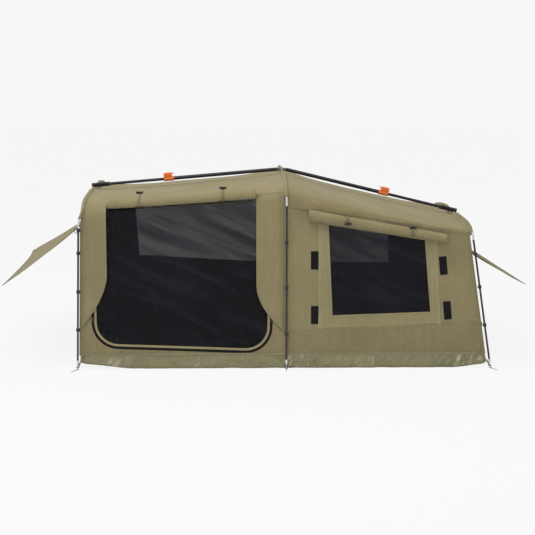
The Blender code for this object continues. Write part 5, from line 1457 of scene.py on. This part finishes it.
for end, (_, _, tube_end, inner_start, lock, cap) in ARMS.items():
    place = arm_frame(end)
    arm_body, slide_body = "ridge_arm_" + end, "ridge_slide_" + end

    bm = bmesh.new()
    shell = ((0, 0.012), (0.0090, 0.012), (TUBE, 0.013), (TUBE, tube_end - 0.0005), (TUBE - 0.0005, tube_end),
             (0.0087, tube_end), (0.0087, 0.032), (0, 0.032))
    add_turned(bm, shell, lying, 40)
    angles = [pi / 2 + pi * step / 12 for step in range(13)]
    eye = [(EYE_RADIUS * cos(angle), EYE_RADIUS * sin(angle)) for angle in angles]
    add_plate(bm, eye + [(0.0160, -0.0064), (0.0160, 0.0064)], -0.0024, 0.0024)
    fit_part("ridge_outer_" + end, bm, black_tube, arm_body, "ridge_outer_tube_" + end, place)

    bm = bmesh.new()
    inner_end = cap + 0.0547
    shell = ((0.0068, inner_start), (INNER, inner_start), (INNER, inner_end), (0.0068, inner_end),
             (0.0068, inner_start))
    add_turned(bm, shell, lying, 36)
    fit_part("ridge_inner_" + end, bm, black_tube, slide_body, "ridge_inner_tube_" + end,
             place)

    bm = bmesh.new()
    low, high = lock - 0.036, lock + 0.021
    pin_x, pin_z = lock + LEVER_PIN[0], LEVER_PIN[1]
    collar = ((0.0102, low), (0.0126, low), (0.0133, low + 0.0008), (0.0133, high - 0.0008), (0.0126, high),
              (0.0083, high), (0.0083, tube_end + 0.0003), (0.0102, tube_end + 0.0003), (0.0102, low))
    add_turned(bm, collar, lying, 40)
    for band in (low + 0.002, low + 0.010):
        raised = ((0.0130, 0.0), (0.0141, 0.0008), (0.0141, 0.0032), (0.0130, 0.004))
        add_turned(bm, [(radius, band + run) for radius, run in raised], lying, 40)
    ear = rounded((lock - 0.024, 0.0080), (high, 0.0335), 0.0060)
    add_plate(bm, ear, -0.0125, -0.0069, 0.0010)
    add_plate(bm, ear, 0.0069, 0.0125, 0.0010)
    add_block(bm, (lock - 0.0235, -0.0078, 0.0085), (high - 0.0005, 0.0078, 0.0145), 0.0004)
    for rib in range(4):
        rib_x = lock - 0.0185 + 0.0062 * rib
        for side in (-1, 1):
            across = sorted((side * 0.0120, side * 0.0134))
            add_block(bm, (rib_x, across[0], 0.0125), (rib_x + 0.0022, across[1], 0.0305), 0.0006)
    screw = ((0, 0.0118), (0.0034, 0.0118), (0.0034, 0.0130), (0.0026, 0.0137), (0, 0.0137))
    for side in (-1, 1):
        sideways = Matrix.Rotation(-side * pi / 2, 4, "X")
        add_turned(bm, screw, Matrix.Translation((pin_x, 0, pin_z)) @ sideways, 20)
    fit_part(f"clamp_{end}_body", bm, orange_plastic, arm_body, "lock_clamp_" + end, place)

    bm = bmesh.new()
    angles = [radians(90 - 10 * step) for step in range(25)]
    outline = [(pin_x + CAM_RADIUS * cos(angle), pin_z + CAM_RADIUS * sin(angle)) for angle in angles]
    outline += [(pin_x - back, pin_z + up) for back, up in LEVER_HANDLE]
    add_plate(bm, outline, -0.0061, 0.0061, 0.0006)
    for ridge in range(3):
        ridge_x = pin_x - 0.047 + 0.004 * ridge
        add_block(bm, (ridge_x, -0.0050, pin_z + 0.0070), (ridge_x + 0.0014, 0.0050, pin_z + 0.0096), 0.0004)
    fit_part(f"lever_{end}_body", bm, orange_plastic, "lever_" + end, "lock_lever_" + end,
             place)

    bm = bmesh.new()
    add_turned(bm, [(radius, cap + run) for radius, run in CAP_SHELL], lying, 40)
    lug = cap + LUG_REACH
    add_block(bm, (lug - 0.010, -0.007, -0.0185), (lug, 0.007, -0.0090), 0.0012)
    fit_part(f"cap_{end}_body", bm, black_plastic, slide_body, "ridge_end_fitting_" + end,
             place)


# Guy hooks
# Open hooks of black wire, one outside each leg at the head end, a little below the leg's top. Each
# is bent through most of a ring.
hoop = HOOPS[0]
for side, label in SIDES:
    start = leg_at(hoop, hoop[2] - 0.020, side) + Vector((-0.001, side * 0.0085, 0))
    bend = []
    for step in range(21):
        turn = radians(250 * step / 20)
        bend.append((start + Vector((0.0085 * cos(turn) - 0.0085, 0, -0.004 - 0.012 * sin(turn))), 0.0016))
    fasten(bent_bar("guy_hook_head_" + label, bend, black_tube, 12, (0, 1, 0)))


# Mattress
# High-density foam in a quilted cover. It is a crowned, closed pad with bulging sides, sewn through
# in a grid.
mattress_cover = woven("mattress_cover", "77726a", "6b665e", 0.0009, roughness=0.85).material
pad_low, pad_high = [Vector(corner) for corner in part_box("mattress")]
PAD_QUILT = 0.16


def pad_place(a, b):
    """Mattress skin: a runs round its cross-section, b from its head to its foot."""
    middle, half = (pad_low + pad_high) / 2, (pad_high - pad_low) / 2
    along_pad = sin(pi / 2 * (2 * b - 1))
    along_pad = copysign(1 - (1 - abs(along_pad)) ** 0.8, along_pad)
    ends = max(1 - abs(along_pad) ** 26, 0.0) ** (1 / 2.6)
    turn = 2 * pi * a
    side = copysign(abs(cos(turn)) ** 0.16, cos(turn))
    level = copysign(abs(sin(turn)) ** 0.45, sin(turn))
    x = middle.x + half.x * along_pad
    y = middle.y + half.y * side * (0.985 + 0.015 * ends)
    z = middle.z + half.z * level * ends
    if level > 0.0:
        crown = 0.008 * (1 - max(abs(side), abs(along_pad)) ** 4)
        quilt = 1 - abs(sin(pi * x / PAD_QUILT)) ** 0.5 * abs(sin(pi * y / PAD_QUILT)) ** 0.5
        z -= (0.008 - crown + 0.005 * quilt) * level
    return Vector((x, y, z))


pad = panel("mattress_pad", 150, 150, (1.4, 2.0), pad_place, mattress_cover)
pad.modifiers.clear()
bm = bmesh.new()
bm.from_mesh(pad.data)
bmesh.ops.remove_doubles(bm, verts=bm.verts, dist=0.0002)
bmesh.ops.holes_fill(bm, edges=[edge for edge in bm.edges if edge.is_boundary], sides=0)
bmesh.ops.recalc_face_normals(bm, faces=bm.faces)
bm.to_mesh(pad.data)
bm.free()
fasten(pad, node="mattress")
